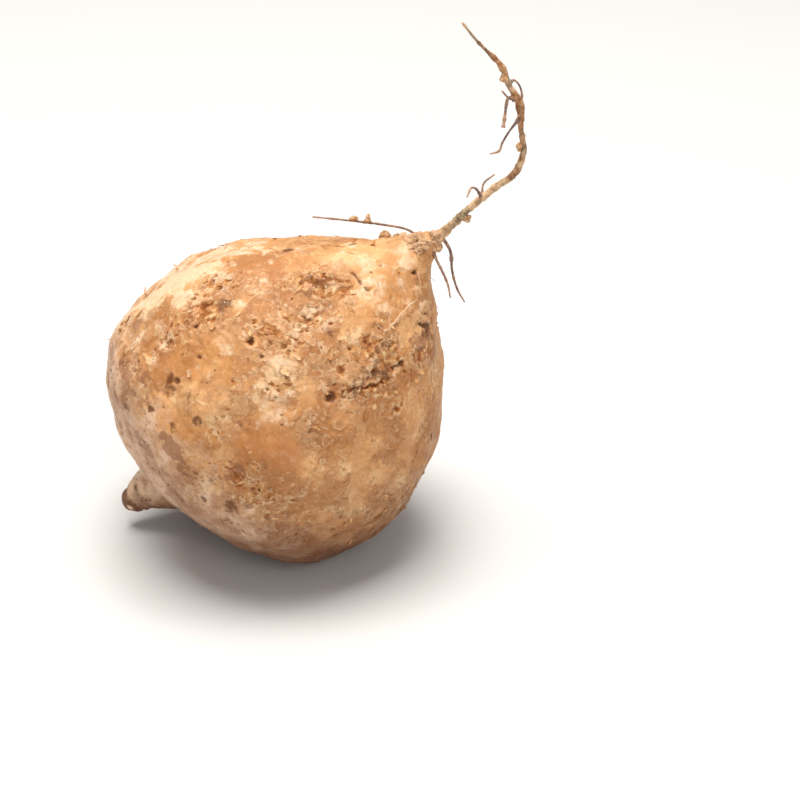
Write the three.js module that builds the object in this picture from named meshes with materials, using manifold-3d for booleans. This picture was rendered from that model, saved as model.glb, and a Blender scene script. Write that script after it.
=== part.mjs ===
// A jicama root as it is sold: a turnip-shaped tuber lying on its side, with the broken stump of
// its stem at the crown, a thin bent taproot at the neck, side rootlets, and crumbs of dried soil.
//
// Millimetres, +Z up. The origin is on the small flat spot that the tuber rests on. The tuber's
// axis runs from the crown, low on the left (-X), to the neck, high on the right (+X), and -Y is
// its front. The root grew as one piece, so it is one solid. The soil crumbs only stick to it.

import * as THREE from "three";
import { mergeVertices } from "three/addons/utils/BufferGeometryUtils.js";
import Module from "manifold-3d";

const wasm = await Module();
wasm.setup();

// ---------------------------------------------------------------------------------------------
// Driving dimensions
// ---------------------------------------------------------------------------------------------

const TUBER_WIDTH = 105; // across the widest part
const TUBER_LENGTH = 120; // along the axis, crown to the end of the neck
const LEAN = 46; // degrees that the axis rises from the table
const MIDDLE = new THREE.Vector3(-9, 2, 48.9); // where the widest part's middle lies
const MIDDLE_FROM_CROWN = 44; // how far along the axis that middle is
const CLEARANCE = 0.3; // between a soil crumb and the root that it sticks to

// Half width of the tuber against the distance from the crown, both as shares of the whole.
const PROFILE = [
  [0.0, 0.0],
  [0.01, 0.23],
  [0.045, 0.49],
  [0.105, 0.74],
  [0.195, 0.93],
  [0.31, 1.0],
  [0.43, 0.99],
  [0.545, 0.91],
  [0.655, 0.76],
  [0.76, 0.57],
  [0.85, 0.35],
  [0.92, 0.165],
  [0.965, 0.09],
  [0.995, 0.055],
  [1.0, 0.0],
];

// The tuber is not quite straight: its middle line wanders towards the underside (+) or the upper
// side (-), in millimetres, at these shares of its length.
const WANDER = [
  [0.0, -5],
  [0.07, -4],
  [0.18, -0.5],
  [0.4, 1.5],
  [0.65, 1.2],
  [0.85, -0.8],
  [1.0, -1.5],
];

// Broad swellings (+) and hollows (-) of the tuber, in millimetres. `along` runs from crown (0) to
// neck (1) and `around` is in degrees about the axis: 0 is the front, 90 the underside, 180 the
// back and 270 the upper side. `reach` is how wide it spreads, in degrees from the middle.
const SWELLINGS = [
  { along: 0.15, around: 62, height: 3.2, reach: 28 },
  { along: 0.05, around: 118, height: 5.0, reach: 28 },
  { along: 0.55, around: 80, height: 2.0, reach: 30 },
  { along: 0.36, around: 12, height: 1.6, reach: 22 },
  { along: 0.7, around: 40, height: 1.2, reach: 20 },
  { along: 0.2, around: 280, height: 1.0, reach: 24 },
  { along: 0.3, around: 300, height: 0.9, reach: 20 },
  { along: 0.45, around: 200, height: 1.8, reach: 30 },
  { along: 0.8, around: 248, height: -3.0, reach: 18 },
  { along: 0.62, around: 252, height: -1.4, reach: 20 },
  { along: 0.62, around: 320, height: -1.0, reach: 16 },
  { along: 0.52, around: 345, height: -0.8, reach: 12 },
  { along: 0.62, around: 150, height: -1.4, reach: 24 },
  { along: 0.25, around: 235, height: -1.2, reach: 20 },
];

const RINGS = 36; // rings of the tuber between crown and neck
const SIDES = 48; // faces around it

// The limbs below are lists of points [right, back, up], each with the limb's radius there.

// The stump of the stem, from inside the crown to its blunt broken end, just above the table.
const STEM_STUMP = {
  points: [[-35, 4, 21], [-43, 4, 16.6], [-50, 3, 13.2], [-55.5, 2, 10.8], [-59, 1, 9]],
  radii: [11.5, 9, 6, 4.3, 2.7],
  sides: 16,
  steps: 10,
};

// The taproot, from inside the neck, bending up and back over itself to its thin tip.
const TAPROOT = {
  points: [
    [37, 2, 96.6],
    [45.5, 2, 105.1],
    [54, 1, 114.1],
    [62, 4, 119.9],
    [67.5, 6.5, 123.1],
    [70.3, 8, 129.1],
    [69.3, 7, 137.6],
    [68.4, 5, 146.4],
    [65.2, 4, 152.2],
    [62.8, 2.5, 158.4],
    [55.2, 1, 166.8],
    [50.6, -3, 173.6],
  ],
  radii: [3.1, 1.4, 1.15, 1.05, 1.15, 1.05, 0.85, 1.25, 0.8, 0.85, 0.45, 0.35],
  sides: 8,
  steps: 56,
};

// Side rootlets. The first reaches back over the tuber from the neck, the next two hang from the
// neck, and the rest branch from the taproot.
const ROOTLETS = {
  over_tuber: {
    points: [[40, 3, 102.1], [35.2, 7, 104.4], [27, 9, 105.4], [16.1, 10, 106.4], [5.5, 7, 108.8]],
    radii: [0.65, 0.45, 0.45, 0.4, 0.3],
  },
  hanging_left: {
    points: [[42, 1, 101.6], [44.1, -2, 97.8], [45.6, -4, 95.4], [47.4, -6, 91.6], [48.2, -7, 87.6]],
    radii: [0.7, 0.5, 0.45, 0.4, 0.3],
  },
  hanging_right: {
    points: [[45.6, 2, 104.2], [48.2, 1, 99.9], [48.8, 0, 93.9], [50.4, 1, 87.3], [53, 4, 81.1]],
    radii: [0.75, 0.6, 0.5, 0.4, 0.3],
  },
  low_curl: {
    points: [[57.6, 2, 117.2], [55.8, 0, 120.8], [54.2, -2, 121.9], [52.9, -4, 119.8]],
    radii: [0.6, 0.4, 0.35, 0.3],
  },
  low_twig: {
    points: [[57.8, 2.6, 117.2], [58.2, 5, 120.5], [61.6, 8, 122.4]],
    radii: [0.5, 0.35, 0.3],
  },
  long_branch: {
    points: [[68.6, 6, 141], [65.8, 3, 138.6], [63.4, 1, 135.2], [62.5, 0, 133.1], [59.7, -1, 132.5]],
    radii: [0.7, 0.4, 0.4, 0.45, 0.3],
  },
  crusty_branch: {
    points: [[68, 5, 147.2], [65, 3, 148.7], [64.3, 2, 146.2], [63.9, 1, 143], [63.5, 0, 140.4]],
    radii: [0.8, 0.45, 0.4, 0.6, 0.4],
  },
  fork_twig: {
    points: [[65.4, 3.4, 148.2], [64, 2.6, 149.8], [63, 2, 151.2]],
    radii: [0.45, 0.35, 0.3],
  },
  loop: {
    points: [[65.4, 4, 153.2], [66.8, 6, 153.2], [68.6, 7.4, 150.8], [69.3, 7, 148], [68.6, 5.4, 145.6]],
    radii: [0.6, 0.4, 0.35, 0.4, 0.5],
  },
};
const ROOTLET_SIDES = 6;
const ROOTLET_STEPS = 12;

// The gnarled collar where the neck turns into the taproot.
const COLLAR = { centre: [41.8, 2, 103], size: [4.0, 3.6, 2.8], seed: 3, detail: 2 };

// How far a lump's skin swells and how closely its two sets of bumps follow each other.
const LUMP_BUMPS = { depth: 0.16, across: 3.1, back: 2.7 };
const LUMP_BANDS = { depth: 0.1, up: 5.3 };

// Crumbs of dried soil, by node name: centre, half sizes, and a seed for the lumpy shape.
const SOIL_CRUMBS = {
  soil_crumb_neck_1: { centre: [28, 8.8, 101], size: [2.2, 2.2, 2.0], seed: 11 },
  soil_crumb_neck_2: { centre: [32, 7.5, 101.3], size: [1.9, 2.0, 1.6], seed: 12 },
  soil_crumb_rootlet_1: { centre: [18.3, 9.8, 107], size: [1.6, 1.2, 1.0], seed: 13 },
  soil_crumb_rootlet_2: { centre: [22.6, 9.6, 106.9], size: [1.1, 1.1, 1.5], seed: 14 },
  soil_crumb_taproot_1: { centre: [53, 0.6, 110.9], size: [1.35, 1.3, 1.35], seed: 15 },
  soil_crumb_taproot_2: { centre: [68.8, 6.8, 131.8], size: [1.1, 1.2, 1.4], seed: 16 },
  soil_crumb_taproot_3: { centre: [63.3, 2, 155], size: [1.4, 1.3, 1.4], seed: 17 },
};

// ---------------------------------------------------------------------------------------------
// Finishes
// ---------------------------------------------------------------------------------------------

const rootSkin = new THREE.MeshStandardMaterial({ color: 0xd2a878, roughness: 0.7, metalness: 0 });
const drySoil = new THREE.MeshStandardMaterial({ color: 0xc9a680, roughness: 0.95, metalness: 0 });

// ---------------------------------------------------------------------------------------------
// Helpers
// ---------------------------------------------------------------------------------------------

// A closed three.js geometry as a manifold solid, without the slivers at a pole.
function solidOf(geometry) {
  const plain = geometry.clone();
  plain.deleteAttribute("normal");
  plain.deleteAttribute("uv");
  const merged = mergeVertices(plain, 1e-4);
  const index = merged.index.array;
  const triangles = [];
  for (let i = 0; i < index.length; i += 3) {
    const [a, b, c] = [index[i], index[i + 1], index[i + 2]];
    if (a !== b && b !== c && a !== c) triangles.push(a, b, c);
  }
  return new wasm.Manifold(
    new wasm.Mesh({
      numProp: 3,
      vertProperties: merged.attributes.position.array,
      triVerts: new Uint32Array(triangles),
    }),
  );
}

// A manifold solid back as a three.js geometry.
function geometryOf(solid) {
  const mesh = solid.getMesh();
  const geometry = new THREE.BufferGeometry();
  geometry.setAttribute("position", new THREE.BufferAttribute(mesh.vertProperties.slice(), 3));
  geometry.setIndex(new THREE.BufferAttribute(mesh.triVerts.slice(), 1));
  geometry.computeVertexNormals();
  return geometry;
}

// The solid's biggest body: a cut can leave slivers beside it.
function biggestOf(solid) {
  return solid.decompose().reduce((a, b) => (b.volume() > a.volume() ? b : a));
}

// Value at `x` on the line through [x, y] points, eased from each point to the next.
function easedValue(points, x) {
  let i = 0;
  while (i < points.length - 2 && x > points[i + 1][0]) i += 1;
  const [x0, y0] = points[i];
  const [x1, y1] = points[i + 1];
  return y0 + (y1 - y0) * THREE.MathUtils.smoothstep(x, x0, x1);
}

// A round, tapering, closed limb along a smooth curve: a cylinder that is bent and tapered.
function limb({ points, radii, sides = ROOTLET_SIDES, steps = ROOTLET_STEPS }, clearance) {
  const curve = new THREE.CatmullRomCurve3(points.map((p) => new THREE.Vector3(...p)));
  const frames = curve.computeFrenetFrames(steps);
  const radiusStops = radii.map((radius, i) => [i / (radii.length - 1), radius]);
  const geometry = new THREE.CylinderGeometry(1, 1, 1, sides, steps);
  const position = geometry.attributes.position;
  for (let i = 0; i < position.count; i += 1) {
    const step = Math.round((position.getY(i) + 0.5) * steps);
    const radius = easedValue(radiusStops, curve.getUtoTmapping(step / steps)) + clearance;
    const point = curve
      .getPointAt(step / steps)
      .addScaledVector(frames.normals[step], position.getX(i) * radius)
      .addScaledVector(frames.binormals[step], -position.getZ(i) * radius);
    position.setXYZ(i, point.x, point.y, point.z);
  }
  return solidOf(geometry);
}

// A rounded, uneven lump.
function lump({ centre, size, seed, detail = 1 }, clearance) {
  const geometry = new THREE.IcosahedronGeometry(1, detail);
  const position = geometry.attributes.position;
  const point = new THREE.Vector3();
  for (let i = 0; i < position.count; i += 1) {
    point.fromBufferAttribute(position, i);
    const bumps = Math.sin(LUMP_BUMPS.across * point.x + seed) * Math.cos(LUMP_BUMPS.back * point.y - seed);
    const bands = Math.sin(LUMP_BANDS.up * point.z + 2 * seed);
    point.multiplyScalar(1 + LUMP_BUMPS.depth * bumps + LUMP_BANDS.depth * bands);
    position.setXYZ(
      i,
      centre[0] + point.x * (size[0] + clearance),
      centre[1] + point.y * (size[1] + clearance),
      centre[2] + point.z * (size[2] + clearance),
    );
  }
  return solidOf(geometry);
}

// ---------------------------------------------------------------------------------------------
// Tuber
// ---------------------------------------------------------------------------------------------

// From the tuber's own frame (axis up, middle at the origin, front at -Y) to its place.
const lying = new THREE.Matrix4()
  .makeTranslation(MIDDLE.x, MIDDLE.y, MIDDLE.z)
  .multiply(new THREE.Matrix4().makeRotationY(THREE.MathUtils.degToRad(90 - LEAN)));

// The way from the tuber's middle to a place on its skin, in its own frame.
function towards({ along, around }) {
  const angle = THREE.MathUtils.degToRad(around);
  const radius = (easedValue(PROFILE, along) * TUBER_WIDTH) / 2;
  const height = along * TUBER_LENGTH - MIDDLE_FROM_CROWN;
  return new THREE.Vector3(radius * Math.sin(angle), -radius * Math.cos(angle), height).normalize();
}

const swellings = SWELLINGS.map((swelling) => ({ ...swelling, direction: towards(swelling) }));

function swellingAt(direction) {
  return swellings.reduce((sum, swelling) => {
    const away = THREE.MathUtils.radToDeg(direction.angleTo(swelling.direction));
    return sum + swelling.height * Math.exp(-((away / swelling.reach) ** 2));
  }, 0);
}

function tuber(clearance) {
  const outline = new THREE.SplineCurve(
    PROFILE.map(([along, half]) => {
      return new THREE.Vector2((half * TUBER_WIDTH) / 2, along * TUBER_LENGTH - MIDDLE_FROM_CROWN);
    }),
  ).getSpacedPoints(RINGS);
  outline[0].x = 0;
  outline[RINGS].x = 0;
  const geometry = new THREE.LatheGeometry(outline, SIDES);
  geometry.rotateX(Math.PI / 2);
  const position = geometry.attributes.position;
  const point = new THREE.Vector3();
  for (let i = 0; i < position.count; i += 1) {
    point.fromBufferAttribute(position, i);
    const outwards = point.clone().normalize();
    const sideways = easedValue(WANDER, (point.z + MIDDLE_FROM_CROWN) / TUBER_LENGTH);
    point.addScaledVector(outwards, swellingAt(outwards) + clearance);
    position.setXYZ(i, point.x + sideways, point.y, point.z);
  }
  return solidOf(geometry.applyMatrix4(lying));
}

// ---------------------------------------------------------------------------------------------
// The whole root, cut flat where it rests, and the soil on it
// ---------------------------------------------------------------------------------------------

function wholeRoot(clearance) {
  const limbs = [STEM_STUMP, TAPROOT, ...Object.values(ROOTLETS)];
  const grown = [tuber(clearance), lump(COLLAR, clearance), ...limbs.map((l) => limb(l, clearance))];
  return grown.reduce((a, b) => a.add(b));
}

const belowTable = new THREE.BoxGeometry(300, 300, 60).translate(0, 0, -30);

const group = new THREE.Group();

function addMesh(name, solid, material) {
  const mesh = new THREE.Mesh(geometryOf(biggestOf(solid)), material);
  mesh.name = name;
  group.add(mesh);
}

addMesh("jicama_root", wholeRoot(0).subtract(solidOf(belowTable)), rootSkin);

const keptClear = wholeRoot(CLEARANCE);
for (const [name, crumb] of Object.entries(SOIL_CRUMBS)) {
  addMesh(name, lump(crumb, 0).subtract(keptClear), drySoil);
}

export default group;
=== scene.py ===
# %% [markdown]
# # A jicama root, from packed solids to a finished look
#
# A jicama is a turnip-shaped tuber. This one lies on its side on a table: the broken stump of its
# stem points down to the left, the neck rises to the right and ends in a thin bent taproot with side
# rootlets. Its papery skin is smooth at the crown and worn through in ragged patches higher up.
#
# The packed model is the fixed frame. It says where everything is, and every finished piece stays
# inside its box. This first cell loads it and keeps the box.

# %% Load the packed model
import itertools
import math

import bpy
import numpy as np
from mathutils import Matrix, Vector


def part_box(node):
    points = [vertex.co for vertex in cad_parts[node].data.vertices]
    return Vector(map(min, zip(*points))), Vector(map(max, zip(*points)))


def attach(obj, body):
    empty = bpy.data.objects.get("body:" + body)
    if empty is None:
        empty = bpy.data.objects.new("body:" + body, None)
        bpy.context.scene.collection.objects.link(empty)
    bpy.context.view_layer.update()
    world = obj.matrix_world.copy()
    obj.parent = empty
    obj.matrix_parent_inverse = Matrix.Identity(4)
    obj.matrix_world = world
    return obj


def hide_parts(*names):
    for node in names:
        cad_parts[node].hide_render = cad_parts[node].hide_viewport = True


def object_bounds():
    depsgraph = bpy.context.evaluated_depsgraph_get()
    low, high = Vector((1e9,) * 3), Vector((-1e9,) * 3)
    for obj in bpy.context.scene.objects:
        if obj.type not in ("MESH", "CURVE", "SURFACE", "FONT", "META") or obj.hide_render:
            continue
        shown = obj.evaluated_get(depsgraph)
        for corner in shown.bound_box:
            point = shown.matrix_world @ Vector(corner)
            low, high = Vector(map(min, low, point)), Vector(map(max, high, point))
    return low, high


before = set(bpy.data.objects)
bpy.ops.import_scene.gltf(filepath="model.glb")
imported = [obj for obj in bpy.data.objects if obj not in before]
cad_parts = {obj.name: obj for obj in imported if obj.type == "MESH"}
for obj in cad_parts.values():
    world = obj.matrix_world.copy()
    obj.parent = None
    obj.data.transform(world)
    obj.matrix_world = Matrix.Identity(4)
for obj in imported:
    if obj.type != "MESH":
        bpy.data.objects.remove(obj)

CAD_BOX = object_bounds()
ROOT_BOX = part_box("jicama_root")
print("packed nodes:", ", ".join(sorted(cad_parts)))
print("box in mm:", [round(v * 1000, 1) for corner in CAD_BOX for v in corner])

# %% [markdown]
# ## The view, the light and the floor
#
# The root is looked at from the front and a little above. A long lens keeps its round shape
# undistorted, and the root stands left of the middle, with empty table on its right.
#
# The light is that of a still-life table in a studio: a white surface, a big soft lamp high above, a
# weaker one at the front right to open the shadows, and a pale surrounding. A very large lamp gives
# soft shadows whose edges melt away, which a small one can't.

# %% Camera
MM = 0.001  # sizes are worked out in millimetres and become metres when a mesh is made
VIEW_HEIGHT = math.radians(28)  # how far above the horizon the camera stands
VIEW_DISTANCE = 610 * MM
RIGHT_OF_ROOT = 27.7 * MM  # the point looked at lies this far right of the root's middle,
BEHIND_ROOT = 1.2 * MM  # this far behind the frame's own middle,
ABOVE_TABLE = 47.5 * MM  # and this high
LONG_LENS = 85  # focal length in mm, for a sensor 36 mm wide


def look_at(thing, spot):
    """Turns a lamp or camera so that it faces `spot`."""
    direction = Vector(spot) - thing.location
    thing.rotation_euler = direction.to_track_quat("-Z", "Y").to_euler()


def add_to_scene(name, data):
    thing = bpy.data.objects.new(name, data)
    bpy.context.scene.collection.objects.link(thing)
    return thing


root_middle = (ROOT_BOX[0] + ROOT_BOX[1]) / 2
aim = Vector((root_middle.x + RIGHT_OF_ROOT, BEHIND_ROOT, ABOVE_TABLE))
camera = add_to_scene("camera", bpy.data.cameras.new("camera"))
camera.data.lens = LONG_LENS
camera.data.sensor_width = 36
camera.location = aim + VIEW_DISTANCE * Vector((0, -math.cos(VIEW_HEIGHT), math.sin(VIEW_HEIGHT)))
look_at(camera, aim)
bpy.context.scene.camera = camera
print("camera at", [round(v, 3) for v in camera.location], "looking at", [round(v, 3) for v in aim])

# %% Lamps and surroundings
LIT_SPOT = (0, 0, 0.05)  # the place on the root that every lamp faces
LAMPS = {
    # name: (place, size, watts, colour)
    "softbox_above": ((-0.1, 0.1, 1.8), 1.2, 47.0, (1.0, 0.97, 0.92)),
    "reflector_front": ((0.95, -2.0, 1.2), 1.6, 17.0, (1.0, 0.97, 0.93)),
}
for name, (place, size, watts, colour) in LAMPS.items():
    lamp = add_to_scene(name, bpy.data.lights.new(name, "AREA"))
    lamp.data.size = size
    lamp.data.energy = watts
    lamp.data.color = colour
    lamp.location = place
    look_at(lamp, LIT_SPOT)

surroundings = bpy.data.worlds.new("surroundings")
surroundings.use_nodes = True
sky = surroundings.node_tree.nodes["Background"]
sky.inputs["Color"].default_value = (1.0, 0.985, 0.97, 1)
sky.inputs["Strength"].default_value = 0.3
bpy.context.scene.world = surroundings
bpy.context.scene.view_settings.view_transform = "Standard"
print("lamps:", ", ".join(LAMPS))

# %% Floor
FLOOR_HALF = 3.0
TABLE_WHITE = (0.68, 0.68, 0.68, 1)
floor_mesh = bpy.data.meshes.new("table")
floor_corners = [(-FLOOR_HALF, -FLOOR_HALF, 0), (FLOOR_HALF, -FLOOR_HALF, 0)]
floor_corners += [(FLOOR_HALF, FLOOR_HALF, 0), (-FLOOR_HALF, FLOOR_HALF, 0)]
floor_mesh.from_pydata(floor_corners, [], [(0, 1, 2, 3)])
table = add_to_scene("table", floor_mesh)
white_table = bpy.data.materials.new("white_table")
white_table.use_nodes = True
table_surface = white_table.node_tree.nodes["Principled BSDF"]
table_surface.inputs["Base Color"].default_value = TABLE_WHITE
table_surface.inputs["Roughness"].default_value = 0.8
floor_mesh.materials.append(white_table)
print("table:", 2 * FLOOR_HALF, "m wide")

# %% [markdown]
# ## The tuber's shape
#
# The solid model draws the tuber as a turned shape: half an outline spun about the axis, then pushed
# out and in by a few broad swellings. The same rule is repeated here, so the fine skin lies exactly
# on the solid. `along` runs from the crown (0) to the neck (1). `around` is in degrees about the
# axis: 0 is the front, 90 the underside, 180 the back and 270 the upper side.

# %% Driving dimensions
TUBER_WIDTH = 105
TUBER_LENGTH = 120
LEAN = 46  # degrees between the axis and the table
MIDDLE = np.array([-9.0, 2.0, 48.9])  # where the middle of the tuber lies
MIDDLE_FROM_CROWN = 44
PROFILE = [
    # along, half width as a share of the widest
    [0.0, 0.0], [0.01, 0.23], [0.045, 0.49], [0.105, 0.74], [0.195, 0.93], [0.31, 1.0], [0.43, 0.99],
    [0.545, 0.91], [0.655, 0.76], [0.76, 0.57], [0.85, 0.35], [0.92, 0.165], [0.965, 0.09],
    [0.995, 0.055], [1.0, 0.0],
]
# How far the axis wanders sideways: [along, millimetres]
WANDER = [[0.0, -5], [0.07, -4], [0.18, -0.5], [0.4, 1.5], [0.65, 1.2], [0.85, -0.8], [1.0, -1.5]]
SWELLINGS = [
    # along, around, height, reach in degrees
    (0.15, 62, 3.2, 28), (0.05, 118, 5.0, 28), (0.55, 80, 2.0, 30), (0.36, 12, 1.6, 22),
    (0.7, 40, 1.2, 20), (0.2, 280, 1.0, 24), (0.3, 300, 0.9, 20), (0.45, 200, 1.8, 30),
    (0.8, 248, -3.0, 18), (0.62, 252, -1.4, 20), (0.62, 320, -1.0, 16), (0.52, 345, -0.8, 12),
    (0.62, 150, -1.4, 24), (0.25, 235, -1.2, 20),
]
print("tuber:", TUBER_WIDTH, "mm wide,", TUBER_LENGTH, "mm long, its axis at", LEAN, "degrees")

# %% The rule that places a point on the tuber
CURVE_STEPS = 60  # points to each span of a smooth curve


def eased_value(stops, x):
    """Value at `x` on the line through [x, y] stops, eased from each stop to the next."""
    stops = np.asarray(stops, float)
    i = np.clip(np.searchsorted(stops[:, 0], x, side="left") - 1, 0, len(stops) - 2)
    share = np.clip((x - stops[i, 0]) / (stops[i + 1, 0] - stops[i, 0]), 0, 1)
    return stops[i, 1] + (stops[i + 1, 1] - stops[i, 1]) * share * share * (3 - 2 * share)


SPAN_SHARES = np.linspace(0, 1, CURVE_STEPS, endpoint=False)[:, None]


def span(b, c, start, end):
    """Close points of the smooth curve from b to c that leaves and arrives with these slopes."""
    t = SPAN_SHARES
    cubed = (2 * b - 2 * c + start + end) * t**3
    return cubed + (3 * c - 3 * b - 2 * start - end) * t**2 + start * t + b


def spline_through(points):
    """A smooth curve through points, as many close points."""
    padded = np.vstack([points[:1], points, points[-1:]])
    neighbours = zip(padded, padded[1:], padded[2:], padded[3:])
    spans = [span(b, c, (c - a) / 2, (d - b) / 2) for a, b, c, d in neighbours]
    return np.vstack([*spans, points[-1:]])


half_widths, shares = np.array(PROFILE)[:, 1], np.array(PROFILE)[:, 0]
heights = shares * TUBER_LENGTH - MIDDLE_FROM_CROWN
OUTLINE = spline_through(np.stack([half_widths * TUBER_WIDTH / 2, heights], 1))
OUTLINE_LENGTHS = np.concatenate([[0], np.cumsum(np.linalg.norm(np.diff(OUTLINE, axis=0), axis=1))])


def turned(radius, height, around):
    """Points about the tuber's own upright axis."""
    angle = np.radians(around)
    flat = np.broadcast_arrays(radius * np.sin(angle), -radius * np.cos(angle), height)
    return np.stack(flat, -1).astype(float)


def unit(vectors):
    """The vectors, each made one long."""
    return vectors / np.maximum(np.linalg.norm(vectors, axis=-1, keepdims=True), 1e-9)


def swelling_at(outwards):
    """How far the swellings push the surface out in these directions, in millimetres."""
    total = np.zeros(outwards.shape[:-1])
    for along, around, height, reach in SWELLINGS:
        radius = eased_value(PROFILE, along) * TUBER_WIDTH / 2
        towards = unit(turned(radius, along * TUBER_LENGTH - MIDDLE_FROM_CROWN, around))
        away = np.degrees(np.arccos(np.clip(outwards @ towards, -1, 1)))
        total += height * np.exp(-((away / reach) ** 2))
    return total


def swollen(points):
    """Moves points of the turned shape to the tuber's real, slightly uneven surface."""
    outwards = unit(points)
    sideways = eased_value(WANDER, (points[..., 2] + MIDDLE_FROM_CROWN) / TUBER_LENGTH)
    moved = points + outwards * swelling_at(outwards)[..., None]
    moved[..., 0] += sideways
    return moved


def on_tuber(along, around):
    """The place on the skin at `along` and `around`, in the tuber's own upright frame."""
    height = np.asarray(along, float) * TUBER_LENGTH - MIDDLE_FROM_CROWN
    return swollen(turned(np.interp(height, OUTLINE[:, 1], OUTLINE[:, 0]), height, around))


tilt = math.radians(90 - LEAN)
LAID_DOWN = np.array(
    [[math.cos(tilt), 0, math.sin(tilt)], [0, 1, 0], [-math.sin(tilt), 0, math.cos(tilt)]]
)


def lie_down(points):
    """From the tuber's own frame to its place on the table."""
    return points @ LAID_DOWN.T + MIDDLE


print("outline is", round(float(OUTLINE_LENGTHS[-1]), 1), "mm long from crown to neck")

# %% [markdown]
# ## Random unevenness
#
# Nothing that grew is even. Seeded rolling hills (gradient noise) shape the whole root: wide ones
# give lumps, narrow ones give crumbs and ragged borders. They are written out here for whole arrays
# of points, because a call for each point would be slow. The same seeds always give the same root.

# %% Hills


def hills(points, size, seed):
    """Rolling hills between about -1 and 1, one to each `size` millimetres."""
    draw = np.random.default_rng(seed)
    slopes = unit(draw.normal(size=(256, 3)))
    mixed = draw.permutation(256)
    cell = points / size
    corner_of = np.floor(cell).astype(int)
    inside = cell - corner_of
    ease = inside**3 * (inside * (inside * 6 - 15) + 10)
    total = np.zeros(len(points))
    for corner in itertools.product((0, 1), repeat=3):
        x, y, z = ((corner_of + corner) & 255).T
        pick = mixed[(mixed[(mixed[x] + y) & 255] + z) & 255]
        weight = np.prod(np.where(corner, ease, 1 - ease), axis=1)
        total += weight * np.einsum("ij,ij->i", slopes[pick], inside - corner)
    return 1.6 * total


def rough_hills(points, size, seed, layers=3, fall=0.5):
    """Hills on hills: each layer is half the size of the one before, and lower."""
    return sum(fall**i * hills(points, size / 2**i, seed + i) for i in range(layers))


def rise(values, low, high):
    """0 below `low`, 1 above `high`, and a smooth step between."""
    share = np.clip((values - low) / (high - low), 0, 1)
    return share * share * (3 - 2 * share)


row = hills(np.linspace((0, 0, 0), (60, 0, 0), 200), 10, 1)
print("a row of hills goes from", round(float(row.min()), 2), "to", round(float(row.max()), 2))

# %% [markdown]
# ## The bare skin mesh
#
# A spun outline crowds its faces at the two poles and leaves them wide in the middle. A cube whose
# faces are divided and blown up to a ball has nearly equal faces everywhere and no pole at all, so
# the same number of faces shows finer relief. Each point of the ball is then sent to the tuber: its
# height on the ball says how far along the outline it goes, and its longitude stays the same.

# %% A ball of even faces
SKIN_DIVISIONS = 120


def squares_of(grid):
    """The four-sided faces between the points of a grid of point numbers."""
    around = [grid[:-1, :-1], grid[1:, :-1], grid[1:, 1:], grid[:-1, 1:]]
    return np.stack(around, -1).reshape(-1, 4)


def cube_ball(divisions):
    """Directions and four-sided faces of a ball made from a divided cube."""
    steps = np.tan(np.linspace(-1, 1, divisions + 1) * math.pi / 4)
    u, v = np.meshgrid(steps, steps, indexing="ij")
    one = np.ones_like(u)
    sides = [(one, u, v), (-one, v, u), (v, one, u), (u, -one, v), (u, v, one), (v, u, -one)]
    corners = np.arange((divisions + 1) ** 2).reshape(divisions + 1, divisions + 1)
    quads = squares_of(corners)
    points = np.concatenate([np.stack(side, -1).reshape(-1, 3) for side in sides])
    faces = np.concatenate([quads + i * corners.size for i in range(len(sides))])
    rounded, index = np.unique(np.round(unit(points), 6), axis=0, return_inverse=True)
    return unit(rounded), index.reshape(-1)[faces]


ball, skin_faces = cube_ball(SKIN_DIVISIONS)
from_crown = np.arccos(np.clip(-ball[:, 2], -1, 1)) / math.pi * OUTLINE_LENGTHS[-1]
around_skin = np.degrees(np.arctan2(ball[:, 0], -ball[:, 1]))
outline_radius = np.interp(from_crown, OUTLINE_LENGTHS, OUTLINE[:, 0])
outline_height = np.interp(from_crown, OUTLINE_LENGTHS, OUTLINE[:, 1])
skin = swollen(turned(outline_radius, outline_height, around_skin))
skin_along = (outline_height + MIDDLE_FROM_CROWN) / TUBER_LENGTH
print("skin:", len(skin), "points,", len(skin_faces), "faces")

# %% Helpers for skin made of arrays
BOX_LOW, BOX_HIGH = (np.array(corner) / MM for corner in ROOT_BOX)
BOX_MARGIN = 0.02


def kept_in_box(points, node="jicama_root"):
    """Points, moved in where they would leave the solid's box."""
    low, high = (np.array(corner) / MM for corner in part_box(node))
    return np.clip(points, low + BOX_MARGIN, high - BOX_MARGIN)


def face_normals_summed(points, faces):
    """Outward direction at each point, from the faces round it."""
    a, b, c, d = (points[faces[:, i]] for i in range(4))
    across = np.cross(c - a, d - b)
    total = np.zeros_like(points)
    for i in range(4):
        np.add.at(total, faces[:, i], across)
    return unit(total)


def softened(values, faces, rounds):
    """Each point's value averaged with its neighbours', `rounds` times over."""
    edges = np.concatenate([faces[:, [i, (i + 1) % 4]] for i in range(4)])
    count = np.bincount(edges[:, 0], minlength=len(values)) + 1
    for _ in range(rounds):
        values = (values + np.bincount(edges[:, 0], values[edges[:, 1]], len(values))) / count
    return values


def finished_mesh(name, points_mm, faces, material, attributes):
    """A smooth-shaded mesh object, its place in its mesh, with named values at its points."""
    mesh = bpy.data.meshes.new(name)
    mesh.from_pydata((np.asarray(points_mm) * MM).tolist(), [], [tuple(face) for face in faces])
    mesh.update()
    mesh.shade_smooth()
    for key, values in attributes.items():
        attribute = mesh.attributes.new(key, "FLOAT", "POINT")
        attribute.data.foreach_set("value", np.asarray(values, np.float32))
    mesh.materials.append(material)
    return add_to_scene(name, mesh)


outwards = face_normals_summed(skin, skin_faces)
if np.einsum("ij,ij->i", outwards, skin).mean() < 0:
    skin_faces = skin_faces[:, ::-1]
    outwards = -outwards
print("faces point outwards:", bool(np.einsum("ij,ij->i", outwards, skin).mean() > 0))
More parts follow.
